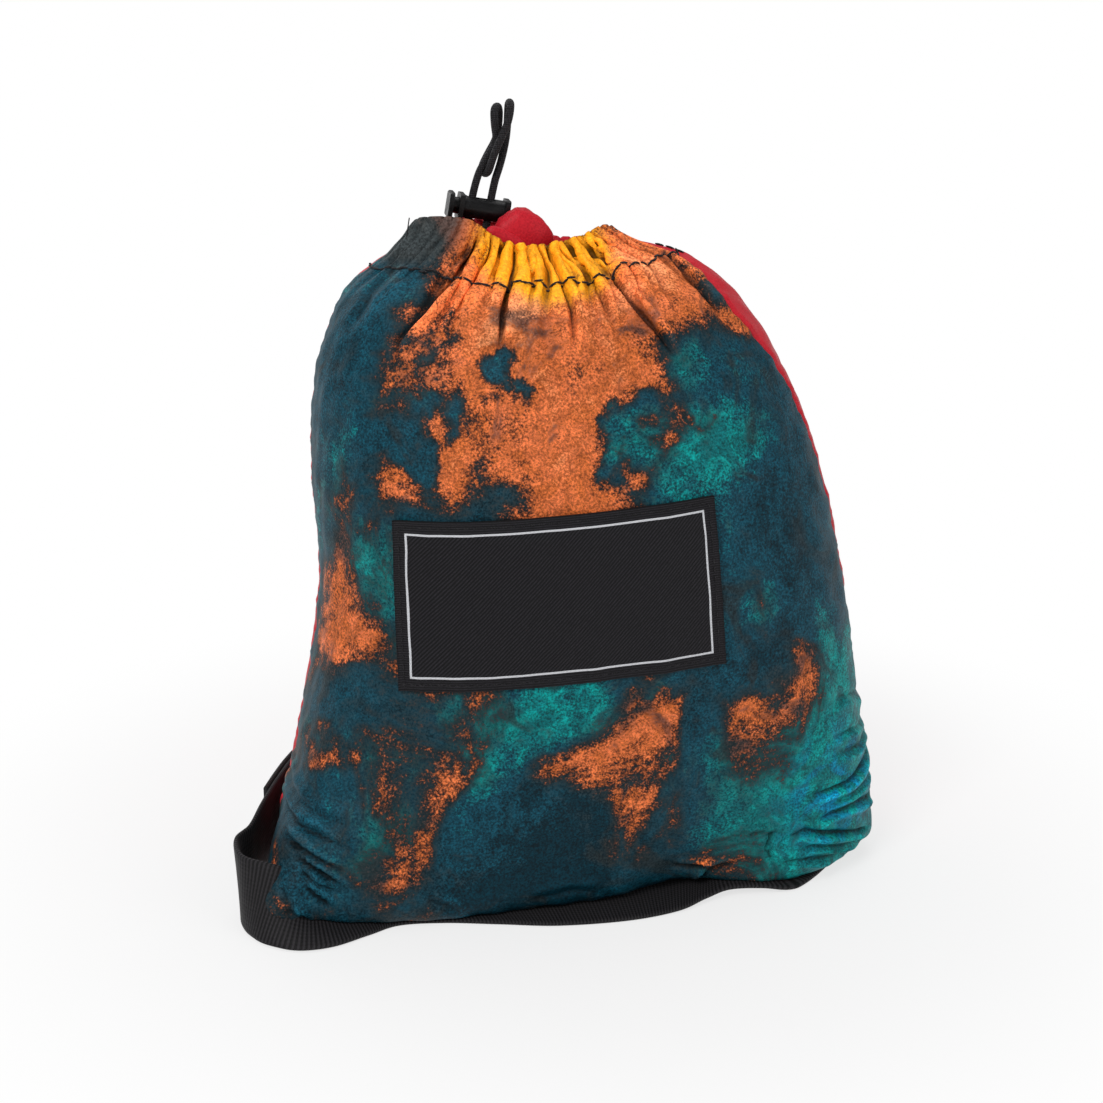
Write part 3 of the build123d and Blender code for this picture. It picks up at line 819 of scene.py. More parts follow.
@dataclass
class StitchRun:
    """A line of thread stitches laid along a path by a Geometry Nodes tree."""

    name: str
    pitch: float = 2.4
    length: float = 2.2
    thickness: float = 0.5

    def _tree(self) -> tuple[bpy.types.NodeTree, dict[str, str]]:
        """Build the tree.

        Returns:
            The tree and the identifiers of its named inputs.
        """
        tree = bpy.data.node_groups.new(f"{self.name}_stitches", "GeometryNodeTree")
        face = tree.interface
        face.new_socket(name="Path", in_out="INPUT", socket_type="NodeSocketGeometry")
        names = {}
        for name, kind in (("Pitch", "NodeSocketFloat"), ("Stitch Length", "NodeSocketFloat"),
                           ("Thickness", "NodeSocketFloat"), ("Finish", "NodeSocketMaterial")):
            names[name] = face.new_socket(name=name, in_out="INPUT", socket_type=kind).identifier
        face.new_socket(name="Stitches", in_out="OUTPUT", socket_type="NodeSocketGeometry")
        new, link = tree.nodes.new, tree.links.new
        start, stop = new("NodeGroupInput"), new("NodeGroupOutput")
        even = new("GeometryNodeResampleCurve")
        even.mode = "LENGTH"
        link(start.outputs["Path"], even.inputs["Curve"])
        link(start.outputs["Pitch"], even.inputs["Length"])
        ball = new("GeometryNodeMeshUVSphere")
        ball.inputs["Segments"].default_value = 8
        ball.inputs["Rings"].default_value = 6
        ball.inputs["Radius"].default_value = 0.5
        tangent = new("GeometryNodeInputTangent")
        turn = new("FunctionNodeAlignRotationToVector")
        turn.axis = "Z"
        link(tangent.outputs[0], turn.inputs["Vector"])
        size = new("ShaderNodeCombineXYZ")
        link(start.outputs["Thickness"], size.inputs["X"])
        link(start.outputs["Thickness"], size.inputs["Y"])
        link(start.outputs["Stitch Length"], size.inputs["Z"])
        lay = new("GeometryNodeInstanceOnPoints")
        link(even.outputs["Curve"], lay.inputs["Points"])
        link(ball.outputs["Mesh"], lay.inputs["Instance"])
        link(turn.outputs[0], lay.inputs["Rotation"])
        link(size.outputs[0], lay.inputs["Scale"])
        real = new("GeometryNodeRealizeInstances")
        link(lay.outputs["Instances"], real.inputs["Geometry"])
        soft = new("GeometryNodeSetShadeSmooth")
        link(real.outputs["Geometry"], soft.inputs["Geometry"])
        dress = new("GeometryNodeSetMaterial")
        link(soft.outputs["Geometry"], dress.inputs["Geometry"])
        link(start.outputs["Finish"], dress.inputs["Material"])
        link(dress.outputs["Geometry"], stop.inputs[0])
        return tree, names

    def lay(self, paths: Sequence[Array], material: bpy.types.Material) -> bpy.types.Object:
        """Lay the stitches along paths given in millimetres.

        Args:
            paths: points of each run.
            material: finish of the thread.

        Returns:
            One plain mesh object that holds every stitch.
        """
        curve = bpy.data.curves.new(self.name, "CURVE")
        curve.dimensions = "3D"
        for path in paths:
            run = curve.splines.new("POLY")
            run.points.add(len(path) - 1)
            for point, place in zip(run.points, path):
                point.co = (*(np.asarray(place) * MM), 1.0)
        guide = place_object(f"{self.name}_guide", curve)
        tree, names = self._tree()
        modifier = guide.modifiers.new("stitches", "NODES")
        modifier.node_group = tree
        modifier[names["Pitch"]] = self.pitch * MM
        modifier[names["Stitch Length"]] = self.length * MM
        modifier[names["Thickness"]] = self.thickness * MM
        modifier[names["Finish"]] = material
        ready = guide.evaluated_get(bpy.context.evaluated_depsgraph_get())
        mesh = bpy.data.meshes.new_from_object(ready)
        mesh.name = self.name
        bpy.data.objects.remove(guide)
        return place_object(self.name, mesh)


# --- the sack -------------------------------------------------------------------------------------


@dataclass(frozen=True)
class Ring:
    """Outline of the sack at one height, from a rounded box to an ellipse."""

    z: float
    centre_x: float
    half_width: float
    front_depth: float
    back_depth: float
    front_square: float
    back_square: float
    widest_y: float = 0.0
    left_square: float = 0.0
    back_left_square: float = 0.0


@dataclass(frozen=True)
class Crease:
    """A fold line on the front, through places across and up, with its depth and width."""

    path: tuple[tuple[float, float], ...]
    depth: float
    width: float


@dataclass(frozen=True)
class ClothRelax:
    """Cloth simulation that lets a pinned skin swell and crumple a little."""

    scale: float = 10.0
    frames: int = 20
    pressure: float = 4.0
    growth: float = 0.05
    mass: float = 0.05
    stiffness: float = 15.0
    bending: float = 0.15
    outward: float = 3.6
    inward: float = 2.4
    sideways: float = 1.2

    def run(self, grid: Array, pinned: Array, loose: Array) -> Array:
        """Simulate a closed grid of points.

        Args:
            grid: rows by columns by 3, in millimetres, closed round its columns.
            pinned: 1 where a point is held, 0 where it is free.
            loose: 0 to 1, how much spare cloth there is at each point.

        Returns:
            The grid after simulation, with its movement limited.
        """
        rows, columns = grid.shape[:2]
        mesh = bpy.data.meshes.new("relax")
        mesh.from_pydata((grid.reshape(-1, 3) * MM * self.scale).tolist(), [],
                         grid_faces(rows, columns, closed=True))
        skin = place_object("relax", mesh)
        held, spare = skin.vertex_groups.new(name="held"), skin.vertex_groups.new(name="spare")
        for index, (h, s) in enumerate(zip(pinned.ravel(), loose.ravel())):
            if h > 0:
                held.add([index], float(h), "REPLACE")
            spare.add([index], float(s), "REPLACE")
        cloth = skin.modifiers.new("cloth", "CLOTH")
        cloth.point_cache.frame_start = 1
        cloth.point_cache.frame_end = self.frames
        settings = cloth.settings
        settings.quality = 5
        settings.mass = self.mass
        settings.tension_stiffness = self.stiffness
        settings.compression_stiffness = self.stiffness
        settings.shear_stiffness = self.stiffness / 3
        settings.bending_stiffness = self.bending
        settings.air_damping = 1.0
        settings.use_pressure = True
        settings.uniform_pressure_force = self.pressure
        settings.vertex_group_mass = "held"
        settings.pin_stiffness = 1.0
        settings.vertex_group_shrink = "spare"
        settings.shrink_min = 0.0
        settings.shrink_max = -self.growth
        settings.effector_weights.gravity = 0.0
        cloth.collision_settings.use_collision = False
        scene = bpy.context.scene
        for frame_number in range(1, self.frames + 1):
            scene.frame_set(frame_number)
        ready = skin.evaluated_get(bpy.context.evaluated_depsgraph_get())
        result = np.empty(rows * columns * 3)
        ready.data.vertices.foreach_get("co", result)
        result = result.reshape(grid.shape) / MM / self.scale
        scene.frame_set(1)
        bpy.data.objects.remove(skin)
        moved = result - grid
        normal = normals_of(grid, closed=True)
        out = np.sum(moved * normal, axis=-1, keepdims=True)
        slide = moved - out * normal
        out = np.where(out > 0, self.outward * np.tanh(out / self.outward),
                       self.inward * np.tanh(out / self.inward))
        size = np.maximum(np.linalg.norm(slide, axis=-1, keepdims=True), TINY)
        slide *= self.sideways * np.tanh(size / self.sideways) / size
        LOG.info("cloth moved %.2f mm at most, %.2f mm on average", np.abs(out).max(),
                 np.abs(out).mean())
        return grid + out * normal + slide


@dataclass
class Sack:
    """The drawstring sack: printed front, plain back, gathered mouth and folded hem."""

    strap_run: Array
    strap_width: float
    front_columns: int = 118
    back_columns: int = 96
    side_rows: int = 90
    base_rows: int = 10
    finer: int = 2
    wall: float = 0.35
    hem: float = 17.0
    mouth_x: float = -11.0
    mouth_half: tuple[float, float] = (24.0, 9.8)
    rim_x: float = -13.5
    rim_half: tuple[float, float] = (25.5, 9.6)
    throat_half: tuple[float, float] = (20.4, 4.6)
    throat_z: float = 170.5
    neck: float = 21.0
    back_calm: float = 0.85
    calm_rounds: int = 9
    front_pleats: int = 21
    back_pleats: int = 15
    pleat_seed: int = 21
    strap_wall: float = 1.5
    # Where the cloth is drawn out, which way and how far round.
    tips: tuple[tuple[Point, Point, float], ...] = (
        ((-76.0, -37.0, 14.0), (-5.5, -5.0, 0.0), 20.0),
        ((-82.0, -43.0, 5.0), (-4.5, -4.0, 0.0), 10.0),
        ((-45.0, -44.0, 3.0), (0.0, -2.5, -0.5), 26.0),
        ((23.0, -43.0, 3.0), (0.0, 4.5, 2.5), 15.0),
        ((74.0, -33.0, 0.0), (-0.5, 4.0, 2.5), 15.0),
        ((83.0, -10.0, 32.0), (4.6, -1.0, 0.6), 4.6),
    )
    rings: tuple[Ring, ...] = (
        Ring(0.0, 0.0, 75.5, 40.0, 38.0, 3.6, 3.0, -13.0, 4.4, 2.1),
        Ring(4.3, 0.4, 81.2, 45.5, 43.0, 3.3, 3.1, -14.0, 4.6, 2.1),
        Ring(16.3, 0.0, 81.2, 46.8, 46.0, 3.0, 3.1, -14.0, 4.4, 2.1),
        Ring(42.1, 1.6, 76.4, 49.2, 49.0, 2.7, 2.7, -8.0, 3.0, 2.2),
        Ring(80.0, 2.8, 70.5, 50.0, 50.0, 2.4, 2.3, -2.0),
        Ring(111.8, -1.2, 67.4, 46.5, 46.5, 2.3, 2.2),
        Ring(137.6, -5.5, 61.0, 40.0, 38.0, 2.2, 2.2),
        Ring(153.9, -8.1, 52.7, 33.0, 30.0, 2.1, 2.1),
        Ring(163.4, -10.0, 42.8, 21.5, 18.0, 2.0, 2.0),
        Ring(168.0, -9.8, 30.4, 12.6, 11.6, 2.0, 2.0),
        Ring(172.0, -11.0, 24.0, 9.8, 9.8, 2.0, 2.0),
    )
    # Turn round the mouth in degrees, then the rim's place.
    rim: tuple[tuple[float, float, float, float], ...] = (
        (-180, -40.5, -1.0, 175.3), (-165, -39.8, -4.6, 176.7), (-150, -36.0, -6.4, 177.2),
        (-135, -31.0, -7.8, 177.1), (-122, -26.5, -8.8, 176.0), (-110, -22.5, -9.4, 172.9),
        (-100, -18.5, -9.7, 170.7), (-90, -12.5, -9.9, 169.6), (-75, -7.0, -9.5, 169.9),
        (-60, -2.0, -8.4, 170.6), (-45, 3.0, -6.9, 171.8), (-30, 7.0, -5.0, 173.3),
        (-15, 10.4, -2.8, 172.7), (0, 12.4, 0.2, 171.2), (30, 10.0, 4.8, 169.8),
        (60, 0.5, 8.0, 168.4), (90, -11.0, 9.4, 170.6), (120, -24.0, 10.2, 173.8),
        (150, -35.5, 7.2, 173.6), (180, -40.5, -1.0, 175.3),
    )
    # Depth below the rim, share of the throat's shape, and share of the gathers.
    hem_rows: tuple[Point, ...] = (
        (0.3, 0.06, 0.9), (1.4, 0.22, 0.8), (3.2, 0.5, 0.6),
        (6.0, 0.8, 0.5), (9.0, 1.0, 0.5), (12.5, 1.0, 0.5),
    )
    # Height, and the seam's Y at that height.
    right_seam: tuple[tuple[float, float], ...] = (
        (0, -5), (30, -8), (60, -16), (84, -17), (110, -14), (140, -15), (153, -19), (160, -16),
        (166, -9), (172, -4),
    )
    left_seam: tuple[tuple[float, float], ...] = (
        (0, -14), (20, -10), (45, -3), (100, 3), (150, 6), (164, 4), (172, 2),
    )
    creases: tuple[Crease, ...] = (
        Crease(((-24, 174), (-31, 166), (-40, 158), (-48, 150), (-51, 141)), 2.6, 0.8),
        Crease(((-18, 173), (-21, 167), (-27, 161)), 1.3, 0.7),
        Crease(((-15, 173), (-17, 166), (-22, 157), (-25, 145)), 2.6, 0.75),
        Crease(((-13, 172), (-13, 166), (-14, 160)), 1.1, 0.65),
        Crease(((-8, 172), (-7, 166), (-5, 158), (-6, 146)), 2.2, 0.75),
        Crease(((-3, 172), (0, 165), (3, 160), (6, 149)), 1.6, 0.75),
        Crease(((1, 173), (5, 165), (9, 161), (14, 154)), 1.7, 0.75),
        Crease(((4, 171), (10, 159), (16, 152), (23, 142)), 2.6, 0.8),
        Crease(((6, 173), (9, 166), (15, 162)), 1.1, 0.65),
        Crease(((-28, 168), (-33, 161), (-41, 152)), 1.2, 0.85),
        Crease(((-34, 166), (-40, 159), (-49, 151)), 1.1, 0.95),
        Crease(((-44, 168), (-53, 160), (-60, 149)), 1.0, 1.2),
        Crease(((20, 168), (30, 160), (40, 147)), 1.1, 1.1),
        Crease(((-81, 29), (-73, 27), (-64, 23)), 1.5, 0.8),
        Crease(((-81, 25), (-73, 21), (-65, 17)), 2.3, 0.8),
        Crease(((-79, 22), (-73, 18), (-64, 12)), 2.4, 0.8),
        Crease(((-78, 19), (-74, 15), (-65, 12)), 1.5, 0.65),
        Crease(((-77, 15), (-73, 11), (-69, 7)), 2.1, 0.8),
        Crease(((-83, 15), (-81, 10), (-82, 4)), 1.0, 0.9),
        Crease(((-80, 33), (-72, 31), (-62, 29)), 0.7, 1.0),
        Crease(((-82, 9), (-78, 6), (-74, 2)), 1.0, 0.8),
        Crease(((-46, 9), (-40, 6), (-37, 3)), 0.9, 1.1),
        Crease(((82, 31), (69, 27), (58, 27), (51, 28)), 1.5, 1.0),
        Crease(((82, 24), (67, 23), (57, 23)), 0.9, 0.7),
        Crease(((81, 18), (73, 20), (64, 20), (55, 18)), 1.6, 0.9),
        Crease(((79, 9), (67, 13), (56, 17), (48, 15), (46, 12)), 2.0, 0.9),
        Crease(((78, 6), (70, 8), (59, 12), (50, 11)), 1.4, 0.8),
        Crease(((73, 5), (59, 8), (49, 9), (44, 6)), 1.3, 0.9),
        Crease(((47, 19), (45, 14), (48, 7)), 1.3, 0.8),
        Crease(((82, 34), (72, 35), (62, 38)), 1.1, 0.9),
        Crease(((81, 38), (71, 41), (60, 41)), 0.8, 0.8),
        Crease(((80, 45), (69, 51), (60, 50)), 0.8, 1.1),
        Crease(((39, 18), (44, 19), (49, 16)), 0.8, 0.8),
        Crease(((20, 10), (29, 8), (36, 11)), 1.3, 1.0),
        Crease(((27, 3), (31, 8), (40, 11)), 1.2, 0.9),
        Crease(((-20, 5), (-8, 7), (4, 5)), 0.7, 1.3),
    )
    front_skin: bpy.types.Object | None = None

    def seam(self, side: int, z: Array) -> Array:
        """How far behind the middle plane a side seam runs, at heights.

        Args:
            side: 1 for the right seam, -1 for the left.
            z: heights in millimetres.

        Returns:
            Y of the seam at each height.
        """
        heights, places = np.array(self.right_seam if side > 0 else self.left_seam).T
        return np.interp(z, heights, places)

    def _ring_at(self, t: Array) -> Array:
        """Ring sizes at places between rings, in the order of the ring's fields.

        Args:
            t: places, counted in rings from the lowest.

        Returns:
            One row of sizes for each place.
        """
        table = np.array([[r.z, r.centre_x, r.half_width, r.front_depth, r.back_depth,
                           r.front_square, r.back_square, r.widest_y,
                           r.left_square or r.front_square,
                           r.back_left_square or r.back_square] for r in self.rings])
        return through(table, t)

    def _outline(self, sizes: Array, columns: tuple[int, int]) -> Array:
        """Points round one ring, evenly spaced on each panel from the left seam.

        Args:
            sizes: the ring's fields.
            columns: numbers of points on the front and on the back.

        Returns:
            The front's points and then the back's, in millimetres.
        """
        (z, centre, half_width, front, back, front_square, back_square, widest, left_square,
         back_left) = sizes
        front, back = front + widest, back - widest

        def turn_of(side: int) -> float:
            """Turn round the ring at which a side's seam meets it.

            Args:
                side: 1 for the right seam and -1 for the left one.

            Returns:
                The turn in radians, as if the seam were on the right.
            """
            y = float(self.seam(side, z)) * min(1.0, front / 38) - widest
            near, far = (front_square, back_square) if side > 0 else (left_square, back_left)
            depth, square = (back, far) if y > 0 else (front, near)
            share = math.asin(min(0.95, (abs(y) / depth)) ** (square / 2))
            return math.copysign(share, y)

        right, left = turn_of(1), math.pi - turn_of(-1)
        points = []
        for start, stop, count in ((left - 2 * math.pi, right, columns[0]),
                                   (right, left, columns[1])):
            turn = np.linspace(start, stop, 500)
            c, s = np.cos(turn), np.sin(turn)
            power = 2 / np.where(s > 0, np.where(c > 0, back_square, back_left),
                                 np.where(c > 0, front_square, left_square))
            x = centre + half_width * np.sign(c) * np.abs(c) ** power
            y = widest + np.where(s < 0, front, back) * np.sign(s) * np.abs(s) ** power
            arc = np.concatenate([[0], np.cumsum(np.hypot(np.diff(x), np.diff(y)))])
            want = np.linspace(0, arc[-1], count, endpoint=False)
            points.append(np.stack([np.interp(want, arc, x), np.interp(want, arc, y),
                                    np.full(count, z)], axis=1))
        return np.concatenate(points)

    def _cage(self) -> Array:
        """Coarse grid of the whole skin, from the middle of the base up to the rim.

        Returns:
            Rows by columns by 3, in millimetres.
        """
        fine = np.linspace(0, len(self.rings) - 1, 1200)
        sizes = self._ring_at(fine)
        step = np.hypot(np.diff(sizes[:, 0]),
                        np.diff(sizes[:, 3]) * 0.6 + np.diff(sizes[:, 2]) * 0.4)
        z = (sizes[1:, 0] + sizes[:-1, 0]) / 2
        step *= 0.72 + 0.75 * (1 - ease(30, 58, z)) + 0.5 * ease(118, 140, z)
        arc = np.concatenate([[0], np.cumsum(step)])
        levels = np.interp(np.linspace(0, arc[-1], self.side_rows), arc, fine)
        columns = (self.front_columns, self.back_columns)
        side = np.array([self._outline(s, columns) for s in self._ring_at(levels)])
        middle = np.array([self.rings[0].centre_x, 0.0, 0.0])
        base = [middle + (side[0] - middle) * f for f in np.linspace(0, 1, self.base_rows + 1)[:-1]]
        return np.concatenate([np.array(base), side])

    def _relaxed(self, cage: Array) -> Array:
        """Args:
            cage: coarse grid of the skin.

        Returns:
            The grid after the cloth simulation, calmer on the back.
        """
        start = cage + normals_of(cage, closed=True) * ripple(cage, 9.0, 5)[..., None] * 0.25
        rows = np.arange(len(cage))
        side = np.clip(rows - self.base_rows, 0, None) / (self.side_rows - 1)
        pinned = np.where((rows < self.base_rows - 3) | (side > 0.975), 1.0, 0.0)
        pinned = np.repeat(pinned[:, None], cage.shape[1], axis=1)
        corner = ease(30, 75, np.abs(cage[..., 0] - 2)) * (1 - ease(40, 85, cage[..., 2]))
        top = ease(118, 160, cage[..., 2])
        loose = np.clip(0.35 + 0.65 * corner + 0.45 * top, 0, 1)
        moved = ClothRelax().run(start, pinned, loose) - cage
        calm = moved.copy()
        for _ in range(self.calm_rounds):
            calm = (np.roll(calm, 1, axis=1) + 2 * calm + np.roll(calm, -1, axis=1)) / 4
            tall = np.concatenate([calm[:1], calm, calm[-1:]])
            calm = (tall[:-2] + 2 * calm + tall[2:]) / 4
        back = self.back_calm * ease(-4, 12, cage[..., 1])[..., None]
        return cage + moved * (1 - back) + calm * back

    def _finer(self, cage: Array) -> Array:
        """Read the cage on a finer grid.

        Args:
            cage: coarse grid of the skin.

        Returns:
            The fine grid.
        """
        rows, columns = cage.shape[:2]
        tall = through(cage, np.linspace(0, rows - 1, (rows - 1) * self.finer + 1))
        wide = np.concatenate([tall[:, -2:], tall, tall[:, :3]], axis=1).transpose(1, 0, 2)
        at = 2 + np.arange(columns * self.finer) / self.finer
        return through(wide, at).transpose(1, 0, 2)

    def _rim(self, grid: Array) -> Array:
        """Draw the neck towards the rim's own line: a hump at each end, dips between them.

        Args:
            grid: fine grid of the skin.

        Returns:
            The grid with its neck moved.
        """
        top = grid[-1]
        half_width, half_depth = self.mouth_half
        turn = np.degrees(np.arctan2(top[:, 1] / half_depth,
                                     (top[:, 0] - self.mouth_x) / half_width))
        knots = np.array(self.rim)
        knots = np.concatenate([knots[-2:-1] - [360, 0, 0, 0], knots, knots[1:2] + [360, 0, 0, 0]])
        target = through(knots[:, 1:], np.interp(turn, knots[:, 0], np.arange(len(knots))))
        weight = (1 - ease(0, self.neck, below_rim(grid))) ** 1.15
        return grid + weight[..., None] * (target - top)

    def _pleats(self, grid: Array, below: Array) -> Array:
        """Outward movement of each point for the gathers below the rim.

        Args:
            grid: the skin's points.
            below: distance of each point below the rim.

        Returns:
            Movement in millimetres, in the grid's shape.
        """
        rows, columns = grid.shape[:2]
        front = self.front_columns * self.finer
        rng = np.random.default_rng(self.pleat_seed)
        move = np.zeros((rows, columns))
        for start, stop, count in ((0, front, self.front_pleats),
                                   (front, columns, self.back_pleats)):
            share = (np.arange(start, stop) - start) / (stop - start)
            drift = np.interp(share, np.linspace(0, 1, count + 1),
                              rng.uniform(-0.32, 0.32, count + 1))
            strength = np.interp(share, np.linspace(0, 1, count), rng.uniform(0.65, 1.35, count))
            strength *= (0.3 + 0.7 * ease(0.26, 0.4, share)) if start == 0 else 0.6
            edge = ease(0, 0.05, share) * ease(0, 0.05, 1 - share)
            phase = 2 * math.pi * (count * share + drift)
            sharp = 0.8 - 2.2 * (0.5 + 0.5 * np.cos(phase)) ** 7
            broad = 0.7 - 2.0 * (0.5 + 0.5 * np.cos(phase / 2 + 0.6)) ** 10
            s = below[:, start:stop]
            fine = 1.25 * np.exp(-(s / (self.hem + 4)) ** 2.2) * (0.6 + 0.4 * ease(0, 5, s))
            long = 0.8 * ease(3, 14, s) * np.exp(-(np.maximum(s - 12, 0) / 24) ** 1.6)
            move[:, start:stop] = edge * strength * (fine * sharp + long * broad)
        return move

    def _folds(self, grid: Array) -> Array:
        """Depth of the single creases on the front, each with a raised lip above it.

        Args:
            grid: fine grid of the skin.

        Returns:
            Outward movement for each point.
        """
        flat = grid[..., [0, 2]].reshape(-1, 2)
        total = np.zeros(len(flat))
        for crease in self.creases:
            path = np.array(crease.path, dtype=float)
            lengths = np.linalg.norm(np.diff(path, axis=0), axis=1)
            best = np.full(len(flat), 1e9)
            share = np.zeros(len(flat))
            sign = np.ones(len(flat))
            run = 0.0
            for a, b, length in zip(path, path[1:], lengths):
                along = (b - a) / length
                t = np.clip((flat - a) @ along, 0, length)
                gap = flat - a - t[:, None] * along
                d = np.linalg.norm(gap, axis=1)
                closer = d < best
                best = np.where(closer, d, best)
                share = np.where(closer, (run + t) / lengths.sum(), share)
                sign = np.where(closer, np.sign(gap @ np.array([-along[1], along[0]])), sign)
                run += length
            fade = ease(0, 0.1, share) * (1 - ease(0.55, 1.0, share))
            width = crease.width * (0.87 + 0.13 * np.sin(3.1 * math.pi * share + crease.path[0][1]))
            valley = -0.8 * crease.depth * np.exp(-(best / width) ** 2)
            lip = 0.6 * crease.depth * np.exp(-((best - 2.2 * width) / (1.4 * width)) ** 2)
            total += fade * (valley + lip * (0.55 + 0.45 * sign))
        total = total.reshape(grid.shape[:2])
        return 1.2 * total * (1 - ease(-12, -2, grid[..., 1]))

    def _seams(self, grid: Array, below: Array) -> Array:
        """A shallow furrow with small puckers along both side seams.

        Args:
            grid: fine grid of the skin.
            below: distance of each point below the rim.

        Returns:
            Outward movement for each point.
        """
        total = np.zeros(grid.shape[:2])
        for column in (0, self.front_columns * self.finer):
            gap = np.linalg.norm(grid - grid[:, column:column + 1], axis=-1)
            run = below[:, column:column + 1]
            pucker = 0.16 * np.sin(run * 2 * math.pi / 4.6 + 2.1 * np.sin(run * 0.17))
            pucker += 0.12 * np.sin(run * 2 * math.pi / 11.0 + 1.0)
            total += -0.7 * np.exp(-(gap / 1.0) ** 2) + pucker * np.exp(-(gap / 4.5) ** 2)
        return total * ease(0.5, 4, grid[..., 2]) * (1 - ease(160, 168, grid[..., 2]))

    def _pushed(self, grid: Array, move: Array) -> Array:
        """The grid moved outwards along its normals, but not on the floor.

        Args:
            grid: fine grid of the skin.
            move: outward movement for each point.

        Returns:
            The moved grid.
        """
        normal = normals_of(grid, closed=True)
        normal[: self.base_rows] = (0, 0, -1)
        return grid + normal * (move * ease(0.3, 3.0, grid[..., 2]))[..., None]

    def _corners(self, grid: Array) -> Array:
        """Draw the lower corners and front edge out, by each tip's pull within its reach.

        Args:
            grid: fine grid of the skin.

        Returns:
            The moved grid.
        """
        moved = grid.copy()
        for centre, pull, reach in self.tips:
            weight = np.exp(-(np.linalg.norm(moved - np.array(centre), axis=-1) / reach) ** 2)
            moved += weight[..., None] * np.array(pull)
        return moved

    def _settle(self, grid: Array) -> Array:
        """Rest the base on the floor and on the strap that runs under the front.

        Args:
            grid: fine grid of the skin.

        Returns:
            The grid with its base raised where something is below it.
        """
        x, y, z = grid[..., 0], grid[..., 1], grid[..., 2]
        runs = self.strap_run
        low, roll, lift = (np.interp(x, runs[:, 0], runs[:, k]) for k in (1, 2, 3))
        reach = self.strap_width * np.cos(np.radians(roll))
        rise = np.tan(np.radians(roll)) * np.clip(y - low, 0, reach)
        under = ease(-3.5, 0.0, y - low) * (1 - ease(0.0, 9.0, y - low - reach))
        under *= ease(-96, -93, x) * (1 - ease(70, 76, x))
        clear = 0.15 + (self.strap_wall + lift + rise) * under
        grid = grid.copy()
        grid[..., 2] = np.where(z < clear, clear + 0.12 * (z - clear), z)
        return grid

    def _inner_hem(self, grid: Array, move: Array) -> Array:
        """Rows of the hem inside the mouth, from the rim down.

        Args:
            grid: fine grid of the skin.
            move: depth of the gathers, which the hem repeats.

        Returns:
            Rows of points.
        """
        rim = grid[-1]
        turn = np.arctan2(rim[:, 1] / self.rim_half[1], (rim[:, 0] - self.rim_x) / self.rim_half[0])
        wave = move[-1]
        rows = [rim + np.array([0, 0, 0.3]) - 0.012 * (rim - np.array([self.mouth_x, 0, 170.0]))]
        for depth, share, spread in self.hem_rows:
            half_width, half_depth = (half + spread * wave for half in self.throat_half)
            inner = np.stack([self.mouth_x + half_width * np.cos(turn), half_depth * np.sin(turn),
                              np.full(len(rim), self.throat_z) - depth], axis=1)
            fall = rim - np.array([0, 0, 1.0]) * depth
            rows.append(fall * (1 - share) + inner * share)
        return np.array(rows)

    def build(self, printed: bpy.types.Material, plain: bpy.types.Material,
              thread: bpy.types.Material) -> None:
        """Build both panels and the hem's stitches.

        Args:
            printed: finish of the front.
            plain: finish of the back.
            thread: finish of the stitches.
        """
        grid = self._rim(self._finer(self._relaxed(self._cage())))
        below = below_rim(grid)
        pleats = self._pleats(grid, below)
        grid = self._corners(self._pushed(grid, pleats + self._seams(grid, below)))
        folds = self._folds(grid)
        grid = self._settle(self._pushed(grid, folds))
        move = pleats + folds
        hem = self._inner_hem(grid, pleats)
        full = np.concatenate([grid, hem])
        # Hem rows in the mouth get the rim's fold height less 0.6, so the finish paints shade
        # there.
        depth = np.concatenate([move, np.repeat(move[-1:] - 0.6, len(hem), axis=0)])
        front = self.front_columns * self.finer
        columns = grid.shape[1]
        middle = slice(0, front + 1)
        behind = list(range(front, columns)) + [0]
        parts = (("sack_front_skin", middle, printed, Slot.PRINT,
                  ("sack_front_panel", "hem_channel")),
                 ("sack_back_skin", behind, plain, Slot.RED, ("sack_back_panel",)))
        for name, part, material, slot, nodes in parts:
            points = full[:, part]
            rows, width = points.shape[:2]
            piece = make_piece(name, points, grid_faces(rows, width), material, merge=0.01,
                               fold=depth[:, part])
            thicken(piece, self.wall)
            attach(piece, "sack")
            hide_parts(*nodes)
            LOG.info("%s: %d faces", name, len(piece.data.polygons))
            if slot is Slot.PRINT:
                self.front_skin = piece
        self._hem_stitches(grid, below, thread)

    def _hem_stitches(self, grid: Array, below: Array, thread: bpy.types.Material) -> None:
        """Sew the hem: a row round both panels, with an L-shaped end behind the right seam.

        Args:
            grid: fine grid of the skin.
            below: distance of each point below the rim.
            thread: finish of the stitches.
        """
        normal = normals_of(grid, closed=True)
        front = self.front_columns * self.finer
        columns = grid.shape[1]

        def at(column: int, depth: float, lift: float = 0.22) -> Array:
            """Point on the skin in a column, at a depth below the rim.

            Args:
                column: number of the column.
                depth: distance below the rim.
                lift: height above the skin.

            Returns:
                The point.
            """
            s = below[:, column][::-1]
            place = [np.interp(depth, s, grid[::-1, column, k]) for k in range(3)]
            out = [np.interp(depth, s, normal[::-1, column, k]) for k in range(3)]
            return np.array(place) + lift * np.array(out)

        def run(first: int, last: int, seed: int) -> Array:
            """Wavy row of stitches between two columns.

            Args:
                first: column where it starts.
                last: column where it ends.
                seed: which waves it has.

            Returns:
                Points along the row.
            """
            rng = np.random.default_rng(seed)
            sway = np.interp(np.linspace(0, 39, last - first), np.arange(40),
                             rng.uniform(-0.8, 0.8, 40))
            return np.array([at(c % columns, self.hem + w)
                             for c, w in zip(range(first, last), sway)])

